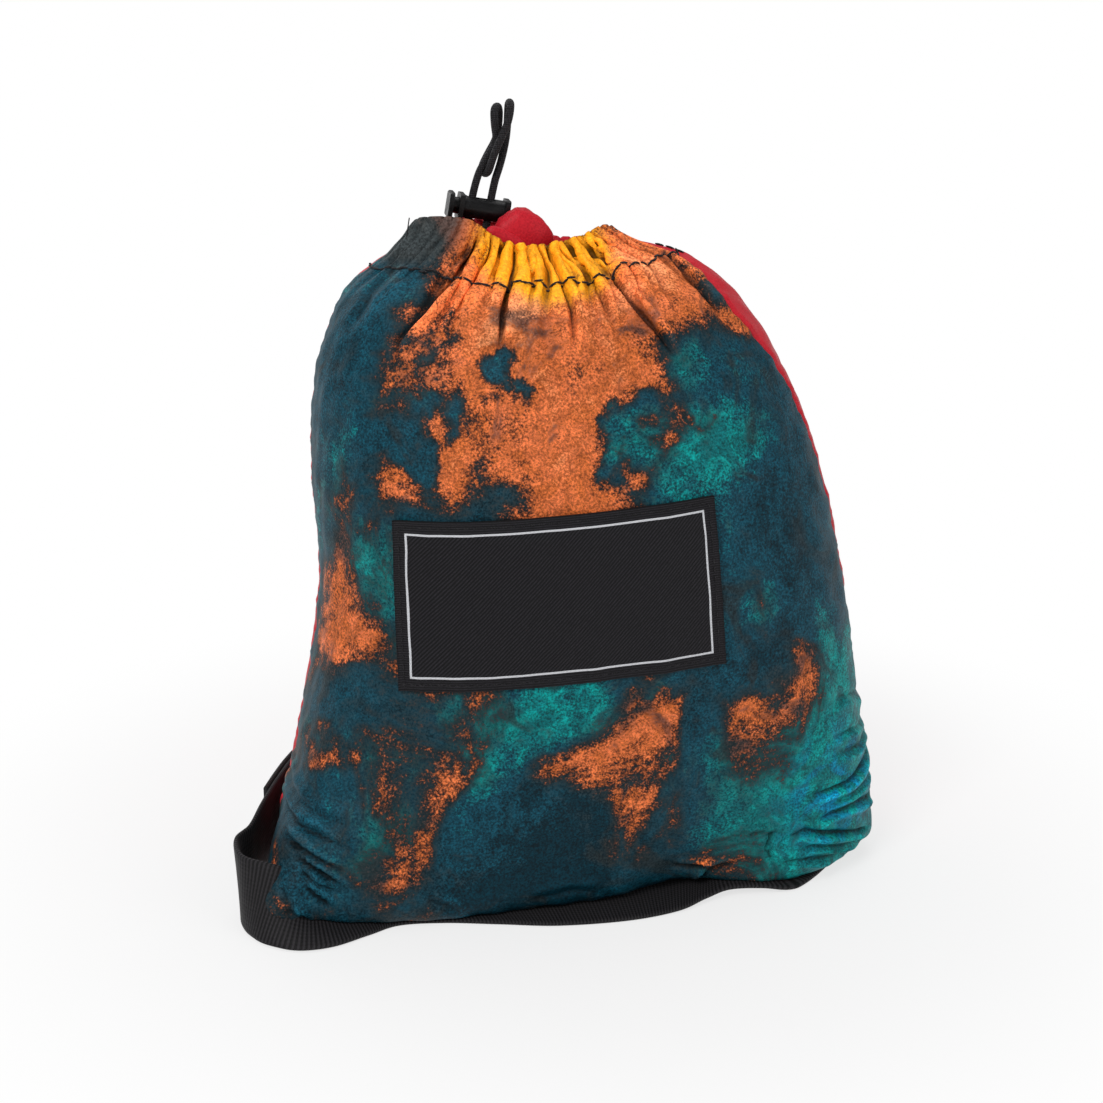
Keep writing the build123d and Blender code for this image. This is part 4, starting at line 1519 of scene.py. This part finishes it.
        turn = front + 8
        foot = range(turn, turn + 13)
        paths = [run(2, turn, 3), run(turn + 14, columns - 2, 4),
                 np.array([at(turn, d) for d in np.linspace(self.hem - 5.0, self.hem + 0.5, 8)]),
                 np.array([at(c, self.hem - 0.5 + 0.15 * (c - turn)) for c in foot])]
        piece = StitchRun("hem_stitches", pitch=2.1, length=2.5, thickness=0.62).lay(paths, thread)
        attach(piece, "sack")

    def surface(self) -> BVHTree:
        """Search tree of the front skin, in metres.

        Returns:
            The tree.
        """
        mesh = self.front_skin.data
        corners = [v.co.copy() for v in mesh.vertices]
        return BVHTree.FromPolygons(corners, [tuple(p.vertices) for p in mesh.polygons])


# --- label ----------------------------------------------------------------------------------------


@dataclass
class Label:
    """Woven patch sewn to the front, following it and sagging a little between its stitches."""

    width: float = 84.0
    height: float = 44.5
    corners: tuple[tuple[float, float], ...] = ((-51.3, 107.2), (28.2, 112.0), (31.2, 69.0),
                                                (-51.2, 64.0))
    thickness: float = 0.75
    stand: float = 0.45
    seam_inset: float = 1.7
    columns: int = 84
    rows: int = 46

    def _spread(self, skin: BVHTree, u: float, v: float) -> Array:
        """Place on the sack for a place on the flat patch, in millimetres.

        Args:
            skin: search tree of the front skin.
            u: place across the patch from its middle.
            v: place up the patch from its middle.

        Returns:
            The place on the sack.
        """
        across, up = u / self.width + 0.5, v / self.height + 0.5
        left_top, right_top, right_low, left_low = (np.array(c) for c in self.corners)
        x, z = (up * ((1 - across) * left_top + across * right_top)
                + (1 - up) * ((1 - across) * left_low + across * right_low))
        hit = skin.ray_cast(Vector((x * MM, -0.2, z * MM)), Vector((0, 1, 0)))[0]
        y = hit.y / MM if hit is not None else -46.0
        return np.array([x, y, z])

    def build(self, skin: BVHTree, weave: bpy.types.Material, thread: bpy.types.Material) -> None:
        """Build the patch and its stitches.

        Args:
            skin: search tree of the front skin.
            weave: finish of the patch.
            thread: finish of its stitches.
        """
        us = np.linspace(-self.width / 2, self.width / 2, self.columns)
        vs = np.linspace(-self.height / 2, self.height / 2, self.rows)
        grid = np.array([[self._spread(skin, u, v) for u in us] for v in vs])
        y = grid[..., 1].copy()
        for _ in range(14):
            wide = np.pad(y, 1, mode="edge")
            y = (wide[1:-1, 1:-1] * 2 + wide[:-2, 1:-1] + wide[2:, 1:-1] + wide[1:-1, :-2]
                 + wide[1:-1, 2:]) / 6
        y = np.minimum(y, grid[..., 1] + 0.05)
        grid[..., 1] = y
        normal = normals_of(grid, closed=False)
        normal *= np.sign(-normal[..., 1:2])
        uu, vv = np.meshgrid(us, vs)
        edge = np.minimum(self.width / 2 - np.abs(uu), self.height / 2 - np.abs(vv))
        sewn = np.exp(-((edge - self.seam_inset) / 0.5) ** 2)
        grid = grid + normal * (self.stand + self.thickness - 0.22 * sewn
                                + 0.08 * ripple(grid, 14.0, 8))[..., None]
        uv = np.stack([uu, vv], axis=-1)
        patch = make_piece("label_patch_woven", grid, grid_faces(self.rows, self.columns), weave,
                           uv=uv)
        thicken(patch, self.thickness)
        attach(patch, "sack")
        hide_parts("label_patch")
        seam = StitchRun("label_stitches", pitch=2.3, length=1.7, thickness=0.42)
        piece = seam.lay([self._seam_path(grid, normal)], thread)
        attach(piece, "sack")

    def _seam_path(self, grid: Array, normal: Array) -> Array:
        """Line of the sewing round the patch, just above its face.

        Args:
            grid: points of the patch.
            normal: unit normals at those points.

        Returns:
            Points along the line.
        """
        side = np.linspace(0, 1, 60)
        w, h = self.width / 2 - self.seam_inset, self.height / 2 - self.seam_inset
        loops = [(-w + 2 * w * t, -h) for t in side] + [(w, -h + 2 * h * t) for t in side]
        loops += [(w - 2 * w * t, h) for t in side] + [(-w, h - 2 * h * t) for t in side]
        path = []
        for u, v in loops:
            c = (u / self.width + 0.5) * (self.columns - 1)
            r = (v / self.height + 0.5) * (self.rows - 1)
            ci, ri = min(int(c), self.columns - 2), min(int(r), self.rows - 2)
            fu, fv = c - ci, r - ri
            low = grid[ri, ci] * (1 - fu) + grid[ri, ci + 1] * fu
            high = grid[ri + 1, ci] * (1 - fu) + grid[ri + 1, ci + 1] * fu
            path.append(low * (1 - fv) + high * fv + normal[ri, ci] * 0.06)
        return np.array(path)


# --- cords ----------------------------------------------------------------------------------------


@dataclass
class Drawcord:
    """Free loop of the drawcord above its lock, and the loose end of a sewing thread."""

    diameter: float = 2.0
    length: float = 111.0
    thread_diameter: float = 0.3
    route: tuple[Point, ...] = (
        (-26.35, 5.3, 172.2), (-24.18, 5.3, 184.5), (-20.6, 5.4, 190.5), (-18.2, 5.3, 194.6),
        (-19.0, 4.1, 198.6), (-19.2, 3.7, 203.0), (-17.2, 7.7, 203.0), (-17.3, 7.8, 198.6),
        (-18.0, 7.7, 194.6), (-20.4, 8.4, 190.4), (-22.1, 9.0, 186.6), (-20.9, 4.2, 185.8),
        (-19.6, 3.0, 190.6), (-17.9, 2.9, 194.6), (-15.6, 2.9, 199.2), (-14.8, 3.1, 204.0),
        (-14.9, 7.6, 204.0), (-15.1, 7.4, 199.2), (-15.7, 6.5, 194.4), (-17.4, 5.5, 188.2),
        (-19.33, 5.3, 183.2), (-21.27, 5.3, 172.2),
    )
    thread_route: tuple[Point, ...] = (
        (-42.0, -4.0, 166.5), (-43.2, -4.6, 169.5), (-42.9, -4.8, 173.0), (-42.2, -4.8, 177.0),
    )

    def _line(self, name: str, points: Sequence[Point], diameter: float,
              material: bpy.types.Material) -> bpy.types.Object:
        """Round cord on one smooth curve that its points control.

        Args:
            name: object name.
            points: control points in millimetres.
            diameter: thickness in millimetres.
            material: finish.

        Returns:
            The curve object.
        """
        curve = bpy.data.curves.new(name, "CURVE")
        curve.dimensions = "3D"
        run = curve.splines.new("NURBS")
        run.points.add(len(points) - 1)
        for point, place in zip(run.points, points):
            point.co = (place[0] * MM, place[1] * MM, place[2] * MM, 1.0)
        run.order_u = 3
        run.use_endpoint_u = True
        curve.resolution_u = 10
        curve.bevel_depth = diameter / 2 * MM
        curve.bevel_resolution = 4
        curve.use_fill_caps = True
        curve.materials.append(material)
        return place_object(name, curve)

    def build(self, braid: bpy.types.Material, thread: bpy.types.Material) -> None:
        """Build the loop and the thread.

        Args:
            braid: finish of the loop.
            thread: finish of the thread's end.
        """
        loop = self._line("drawcord_free_loop", self.route, self.diameter, braid)
        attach(loop, "sack")
        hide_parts("drawcord_loop")
        tail = self._line("loose_thread", self.thread_route, self.thread_diameter, thread)
        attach(tail, "sack")
        LOG.info("drawcord loop of %.0f mm", self.length)


# --- strap ----------------------------------------------------------------------------------------


@dataclass(frozen=True)
class Lay:
    """One place along the strap: its lower edge, heading, roll (0 flat, 90 standing) and lift."""

    x: float
    y: float
    heading: float
    roll: float
    lift: float


@dataclass
class Strap:
    """Carrying strap of ribbed webbing: flat under the front, on edge round the left and behind."""

    width: float = 20.0
    thickness: float = 1.3
    rib: float = 0.95
    rear_y: float = 50.9
    lift: float = 3.2
    layer: float = 1.6
    sewn_start: float = 27.0
    sewn_length: float = 42.0
    sewn_turn: float = 20.0
    flat: tuple[Lay, ...] = (
        Lay(71.8, -24.6, 230, 0, 0.1), Lay(64.0, -34.0, 230, 2, 0.1),
        Lay(57.0, -41.0, 220, 6, 0.1), Lay(51.5, -43.9, 196, 6, 0.4),
        Lay(44.0, -44.6, 181, 3, 1.9), Lay(35.0, -44.6, 176, 2, 2.2),
        Lay(28.0, -47.0, 166, 0, 1.4), Lay(20.0, -50.5, 168, 0, 0.4),
        Lay(6.0, -53.0, 178, 0, 0.1), Lay(-12.0, -52.6, 184, 0, 0.1),
        Lay(-27.0, -49.2, 191, 0, 0.1), Lay(-41.0, -46.0, 186, 0, 0.1),
        Lay(-53.0, -45.4, 182, 2, 0.1), Lay(-61.0, -49.3, 193, 9, 0.1),
        Lay(-69.5, -53.6, 188, 16, 0.1), Lay(-77.5, -54.8, 174, 26, 0.1),
        Lay(-85.0, -51.6, 148, 46, 0.1), Lay(-90.0, -46.0, 122, 68, 0.1),
        Lay(-92.6, -38.0, 98, 88, 0.3), Lay(-91.6, -29.0, 78, 95, 1.0),
    )
    beside: tuple[tuple[float, float], ...] = (
        (-89.3, -21.0), (-85.9, -12.0), (-82.8, -3.0), (-79.6, 6.5), (-76.0, 16.0),
        (-71.2, 26.0), (-64.2, 36.2), (-54.8, 44.6), (-44.6, 49.4), (-36.0, 50.8), (-28.0, 50.9),
    )

    def footprint(self) -> Array:
        """X, Y of the lower edge, roll and lift of the run under the front, by rising X."""
        rows = np.array([(lay.x, lay.y, lay.roll, lay.lift) for lay in self.flat[:-2]])
        return rows[::-1]

    def _edges(self, lay: Lay) -> tuple[Array, Array]:
        """Lower and upper edge of the webbing's middle layer at one place.

        Args:
            lay: the place along the strap.

        Returns:
            The two edges.
        """
        h, r = math.radians(lay.heading), math.radians(lay.roll)
        across = np.array([math.sin(h) * math.cos(r), -math.cos(h) * math.cos(r), math.sin(r)])
        low = np.array([lay.x, lay.y, lay.lift + self.thickness / 2 * abs(math.cos(r))])
        return low, low + across * self.width

    def _rear(self, out: float, start_y: float, end: bool) -> list[Lay]:
        """Places along the standing run from the left side round behind the sack.

        Args:
            out: how far outside the webbing's middle line it runs.
            start_y: where on the left side it starts.
            end: whether it runs on to its sewn end.

        Returns:
            The places in order.
        """
        rear = self.rear_y + out
        track = np.array(self.beside)
        slope = unit(np.gradient(track, axis=0))
        lays = []
        for (x, y), (dx, dy) in zip(track, slope):
            if y > start_y:
                lays.append(Lay(x - out * dy, y + out * dx, math.degrees(math.atan2(dy, dx)), 90,
                                self.lift * float(ease(-30, -5, np.array(y)))))
        lays += [Lay(x, rear, 0, 90, self.lift) for x in (-15, 5, 23)]
        if end:
            slant = math.radians(self.sewn_turn)
            for run in (0.12 * self.sewn_length, 0.55 * self.sewn_length, self.sewn_length):
                lays.append(Lay(self.sewn_start + run * math.cos(slant),
                                rear - run * math.sin(slant), -self.sewn_turn, 90, self.lift))
        return lays

    def _band(self, name: str, lays: Sequence[Lay],
              material: bpy.types.Material) -> bpy.types.Object:
        """Ribbed band through places, with rounded edges.

        Args:
            name: object name.
            lays: places along the band.
            material: finish.

        Returns:
            The object.
        """
        edges = np.array([self._edges(lay) for lay in lays])
        middle = edges.mean(axis=1)
        steps = distance_along(middle)
        count = int(steps[-1] / (self.rib / 4))
        at = np.interp(np.linspace(0, steps[-1], count), steps, np.arange(len(lays)))
        run = through(edges, at)
        low, high = run[:, 0], run[:, 1]
        across = unit(high - low)
        centre = (low + high) / 2
        tangent = unit(np.gradient(centre, axis=0))
        normal = unit(np.cross(across, tangent))
        half, wall = self.width / 2, self.thickness / 2
        shares = [-1.0, -0.985, -0.93, -0.6, -0.2, 0.2, 0.6, 0.93, 0.985, 1.0]
        upper = [(s, 1.0 if abs(s) < 0.95 else (0.62 if abs(s) < 0.99 else 0.15)) for s in shares]
        outline = [(s, k) for s, k in upper] + [(s, -k) for s, k in reversed(upper)]
        arc = distance_along(centre)
        relief = 0.06 * np.sin(arc * 2 * math.pi / self.rib)
        points, uv = [], []
        for s, k in outline:
            depth = k * (wall + (relief if abs(s) < 0.96 else 0))
            points.append(centre + across * (s * half) + normal * np.atleast_1d(depth)[:, None])
            uv.append(np.stack([arc, np.full(count, s * half)], axis=1))
        points = np.array(points).transpose(1, 0, 2)
        uv = np.array(uv).transpose(1, 0, 2)
        faces = [tuple(reversed(f)) for f in close_ends(count, len(outline))]
        return make_piece(name, points, faces, material, uv=uv)

    def build(self, webbing: bpy.types.Material) -> None:
        """Build the strap and its doubled tail.

        Args:
            webbing: finish of both.
        """
        main = [*self.flat, *self._rear(0.0, -25.0, True)]
        for name, lays, node in (("strap_band", main, "strap_webbing"),
                                 ("strap_tail_band", self._rear(self.layer, -4.5, False),
                                  "strap_tail")):
            piece = self._band(name, lays, webbing)
            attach(piece, "sack")
            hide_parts(node)
            LOG.info("%s: %d faces", name, len(piece.data.polygons))


# --- cloth at the mouth and inside ----------------------------------------------------------------


@dataclass(frozen=True)
class Lobe:
    """A rounded fold of cloth, with its lean in degrees and how square and crumpled it is."""

    name: str
    centre: Point
    half: Point
    lean: float
    seed: int
    slot: Slot
    square: float = 0.8
    crumple: float = 0.03


@dataclass
class MouthCloth:
    """The hammock's cloth that shows in the mouth, and the folded bundle below it."""

    lobes: tuple[Lobe, ...] = (
        Lobe("puff_fold", (-12.4, -0.6, 170.2), (6.9, 3.6, 7.6), -36.0, 31, Slot.RED, 0.56, 0.05),
        Lobe("puff_side_fold", (-17.6, -4.6, 170.6), (6.0, 1.5, 2.3), 30.0, 32, Slot.RED,
             crumple=0.06),
        Lobe("puff_back_fold", (0.0, 2.0, 165.6), (8.0, 2.4, 2.6), -6.0, 33, Slot.RED),
        Lobe("printed_scrap", (-24.0, -5.2, 173.0), (1.5, 0.9, 1.1), 30.0, 34, Slot.PRINT),
    )
    columns: int = 48
    rows: int = 30
    roundness: float = 0.85
    inset: float = 13.0
    middle: float = 16.0
    thinned: float = 6.0
    cap_x: float = -11.0
    # Height, half width and half depth of each outline of the cap.
    cap_rings: tuple[Point, ...] = (
        (151.5, 40, 20), (154.5, 42, 21), (156.5, 38, 18), (158.5, 30, 11),
        (160.5, 19, 4.0), (163.5, 17, 3.3), (165.0, 14, 2.4), (165.6, 7, 1.0),
    )

    def _lobe(self, lobe: Lobe, material: bpy.types.Material) -> bpy.types.Object:
        """A closed, slightly crumpled lobe.

        Args:
            lobe: its sizes.
            material: finish.

        Returns:
            The object.
        """
        u = np.linspace(0, 2 * math.pi, self.columns, endpoint=False)
        v = np.linspace(0.0, math.pi, self.rows)
        vv, uu = np.meshgrid(v, u, indexing="ij")
        x, y = (np.sign(wave) * np.abs(wave) ** self.roundness * np.sin(vv) ** lobe.square
                for wave in (np.cos(uu), np.sin(uu)))
        z = -np.cos(vv)
        local = np.stack([x, y, z], axis=-1) * np.array(lobe.half)
        size = max(lobe.half)
        wrinkle = lobe.crumple * size * ripple(local, size * 1.1, lobe.seed)
        wrinkle += 0.3 * lobe.crumple * size * ripple(local, size * 0.35, lobe.seed + 1)
        local *= (1 + wrinkle / size)[..., None]
        a = math.radians(lobe.lean)
        turned = local.copy()
        turned[..., 0] = local[..., 0] * math.cos(a) + local[..., 2] * math.sin(a)
        turned[..., 2] = local[..., 2] * math.cos(a) - local[..., 0] * math.sin(a)
        points = turned + np.array(lobe.centre)
        return make_piece(lobe.name, points, grid_faces(self.rows, self.columns, closed=True),
                          material, merge=0.02)

    def _shrunk(self, node: str, material: bpy.types.Material) -> bpy.types.Object:
        """Copy of a folded layer, drawn in from the sack's skin.

        Args:
            node: CAD node to copy.
            material: finish.

        Returns:
            The copy, with merged corners.
        """
        low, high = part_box(node)
        centre = (Vector(low) + Vector(high)) / 2
        mesh = bpy.data.objects[node].data.copy()
        mesh.name = f"{node}_folded"
        work = bmesh.new()
        work.from_mesh(mesh)
        bmesh.ops.remove_doubles(work, verts=work.verts, dist=1e-5)
        for corner in work.verts:
            for axis in (0, 2):
                half = (high[axis] - low[axis]) / 2
                share = min(1.0, abs(corner.co[axis] - centre[axis]) / half)
                move = self.inset * MM * share ** 2
                corner.co[axis] -= math.copysign(move, corner.co[axis] - centre[axis])
            if abs(corner.co.y) >= self.middle * MM:
                corner.co.y -= math.copysign(self.thinned * MM, corner.co.y)
        work.to_mesh(mesh)
        work.free()
        mesh.materials.clear()
        mesh.materials.append(material)
        return place_object(mesh.name, mesh)

    def build(self, finishes: dict[Slot, bpy.types.Material]) -> None:
        """Build the lobes and the folded layers.

        Args:
            finishes: materials by slot.
        """
        for lobe in self.lobes:
            piece = self._lobe(lobe, finishes[lobe.slot])
            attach(piece, "sack")
            if lobe.name == "puff_fold":
                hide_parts("hammock_top_fold")
        for node, slot in (("hammock_centre_panel", Slot.PRINT),
                           ("hammock_side_panel_front", Slot.RED),
                           ("hammock_side_panel_back", Slot.RED)):
            piece = self._shrunk(node, finishes[slot])
            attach(piece, "sack")
            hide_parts(node)
        self._cap(finishes[Slot.RED])

    def _cap(self, material: bpy.types.Material) -> None:
        """Top of the folded cloth that closes the view down the mouth.

        Args:
            material: finish.
        """
        count, levels = 72, 50
        u = np.linspace(0, 2 * math.pi, count, endpoint=False)
        grid = np.array([np.stack([self.cap_x + half_width * np.cos(u), half_depth * np.sin(u),
                                   np.full(count, z)], axis=1)
                         for z, half_width, half_depth in self.cap_rings])
        fine = through(grid, np.linspace(0, len(grid) - 1, levels))
        fine[..., 2] += 0.7 * ripple(fine, 8.0, 41) * ease(158, 163, fine[..., 2])
        piece = make_piece("top_fold_cloth", fine, close_ends(levels, count), material)
        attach(piece, "sack")


# --- hardware -------------------------------------------------------------------------------------


@dataclass
class Hardware:
    """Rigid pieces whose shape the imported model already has."""

    press_axis: Point = (0.98481, 0.0, -0.17365)
    spring_kept: float = 0.26
    dressed: tuple[tuple[str, Slot], ...] = (
        ("channel_drawcord", Slot.CORD), ("cord_lock_body", Slot.LOCK),
        ("cord_lock_plunger", Slot.LOCK), ("cord_lock_spring", Slot.SPRING),
        ("strap_slider", Slot.SLIDER),
        ("carabiner_frame_a", Slot.ALUMINIUM), ("carabiner_frame_b", Slot.ALUMINIUM),
        ("carabiner_gate_a", Slot.WIRE), ("carabiner_gate_b", Slot.WIRE),
        ("end_rope_a", Slot.ROPE), ("end_rope_b", Slot.ROPE),
        ("end_sleeve_a", Slot.RED), ("end_sleeve_b", Slot.RED),
    )

    def build(self, finishes: dict[Slot, bpy.types.Material]) -> None:
        """Dress each rigid node.

        Args:
            finishes: materials by slot.
        """
        for node, slot in self.dressed:
            mesh = bpy.data.objects[node].data
            mesh.materials.clear()
            mesh.materials.append(finishes[slot])
            LOG.info("%s dressed in %s", node, slot.value)
        spring = bpy.data.objects["cord_lock_spring"]
        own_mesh(spring)


# --- studio ---------------------------------------------------------------------------------------


@dataclass
class Studio:
    """Pale floor, soft lamps and the camera, in metres."""

    eye: Point = (-0.1006, -0.5424, 0.2640)
    aim: Point = (-0.005, 0.0, 0.085)
    lens: float = 70.0
    sensor: float = 36.0
    world: float = 0.30
    lamp_aim: Point = (0.0, 0.0, 0.08)
    floor_half: float = 6.0
    floor_white: float = 0.72
    # Distances, in millimetres, between which the floor fades to white.
    white_reach: tuple[float, float] = (95.0, 210.0)
    lamps: tuple[tuple[str, Point, float, float], ...] = (
        ("key", (-0.75, -1.0, 1.15), 12.0, 0.6),
        ("fill", (1.0, -0.95, 0.55), 3.6, 1.0),
        ("top", (0.15, 0.35, 1.35), 5.0, 0.9),
        ("back", (-0.6, 1.0, 0.7), 3.4, 0.9),
    )

    def _shown_white(self) -> bpy.types.Material:
        """Pale floor that the camera and reflections see as nearly white, with soft shadows.

        Returns:
            The material.
        """
        s = Shading("studio_floor")
        s.surface(Base_Color=(0.86, 0.86, 0.86, 1.0), Roughness=0.9, Specular_IOR_Level=0.1)
        path = s.tree.nodes.new("ShaderNodeLightPath")
        seen = s.math("MAXIMUM", path.outputs["Is Camera Ray"],
                      s.math("MAXIMUM", path.outputs["Is Glossy Ray"],
                             path.outputs["Is Transmission Ray"]))
        glow = s.tree.nodes.new("ShaderNodeEmission")
        glow.inputs["Color"].default_value = (1, 1, 1, 1)
        glow.inputs["Strength"].default_value = 1.0
        blend = s.tree.nodes.new("ShaderNodeMixShader")
        span = s.tree.nodes.new("ShaderNodeVectorMath")
        span.operation = "LENGTH"
        s.put(span.inputs[0], s.place())
        white = s.ramp(span.outputs["Value"], *self.white_reach, self.floor_white, 1.0)
        s.put(blend.inputs[0], s.math("MULTIPLY", seen, white))
        s.put(blend.inputs[1], s.shader.outputs[0])
        s.put(blend.inputs[2], glow.outputs[0])
        s.put(s.tree.nodes["Material Output"].inputs["Surface"], blend.outputs[0])
        return s.material

    def _point(self, thing: bpy.types.Object, place: Point, aim: Point) -> None:
        """Put a lamp or the camera at a place and turn it towards its aim.

        Args:
            thing: the lamp or camera.
            place: where it stands, in metres.
            aim: the point that it looks at, in metres.
        """
        thing.location = place
        look = Vector(aim) - Vector(place)
        thing.rotation_euler = look.to_track_quat("-Z", "Y").to_euler()

    def build(self) -> None:
        """Build the floor, world, lamps and camera."""
        scene = bpy.context.scene
        mesh = bpy.data.meshes.new("studio_floor")
        half = self.floor_half
        mesh.from_pydata([(-half, -half, 0), (half, -half, 0), (half, half, 0), (-half, half, 0)],
                         [], [(0, 1, 2, 3)])
        mesh.materials.append(self._shown_white())
        place_object("studio_floor", mesh)
        world = bpy.data.worlds.new("studio")
        world.use_nodes = True
        tree = world.node_tree
        path = tree.nodes.new("ShaderNodeLightPath")
        strength = tree.nodes.new("ShaderNodeMapRange")
        strength.inputs["To Min"].default_value = self.world
        strength.inputs["To Max"].default_value = 1.0
        tree.links.new(path.outputs["Is Camera Ray"], strength.inputs["Value"])
        tree.links.new(strength.outputs["Result"], tree.nodes["Background"].inputs["Strength"])
        tree.nodes["Background"].inputs["Color"].default_value = (1, 1, 1, 1)
        scene.world = world
        for name, place, power, size in self.lamps:
            light = bpy.data.lights.new(name, "AREA")
            light.energy = power
            light.size = size
            self._point(place_object(name, light), place, self.lamp_aim)
        lens = bpy.data.cameras.new("camera")
        lens.lens = self.lens
        lens.sensor_width = self.sensor
        lens.clip_start = 0.01
        scene.camera = place_object("camera", lens)
        self._point(scene.camera, self.eye, self.aim)
        scene.view_settings.view_transform = "Standard"


def main() -> None:
    """Build every sub-assembly and report it."""
    logging.basicConfig(level=logging.INFO, format="%(name)s: %(message)s")
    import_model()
    Studio().build()
    label, strap = Label(), Strap()
    finishes = {
        Slot.PRINT: MottledPrint().build(),
        Slot.RED: PlainTaffeta("red_nylon", "d31f30", "bb1224").build(),
        Slot.LABEL: WovenLabel(label.width, label.height).build(),
        Slot.CORD: BraidedCord("cord_black").build(),
        Slot.WEBBING: RibbedWebbing(rib=strap.rib).build(),
        Slot.ROPE: BraidedCord("rope", "18171a", "3a3a3e", 2.4).build(),
        Slot.LOCK: MouldedPlastic("lock_plastic").build(),
        Slot.SLIDER: MouldedPlastic("slider_plastic", roughness=0.42).build(),
        Slot.ALUMINIUM: BareMetal("aluminium", "b9bcc0", 0.32).build(),
        Slot.WIRE: BareMetal("wire_steel", "c4c4c4", 0.22).build(),
        Slot.SPRING: BareMetal("spring_steel", "bdbdbd", 0.25).build(),
    }
    thread = finishes[Slot.CORD]
    Drawcord().build(finishes[Slot.CORD], thread)
    sack = Sack(strap.footprint(), strap.width)
    sack.build(finishes[Slot.PRINT], finishes[Slot.RED], thread)
    label.build(sack.surface(), finishes[Slot.LABEL], thread)
    strap.build(finishes[Slot.WEBBING])
    MouthCloth().build(finishes)
    Hardware().build(finishes)
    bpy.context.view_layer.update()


if __name__ == "__main__":
    main()
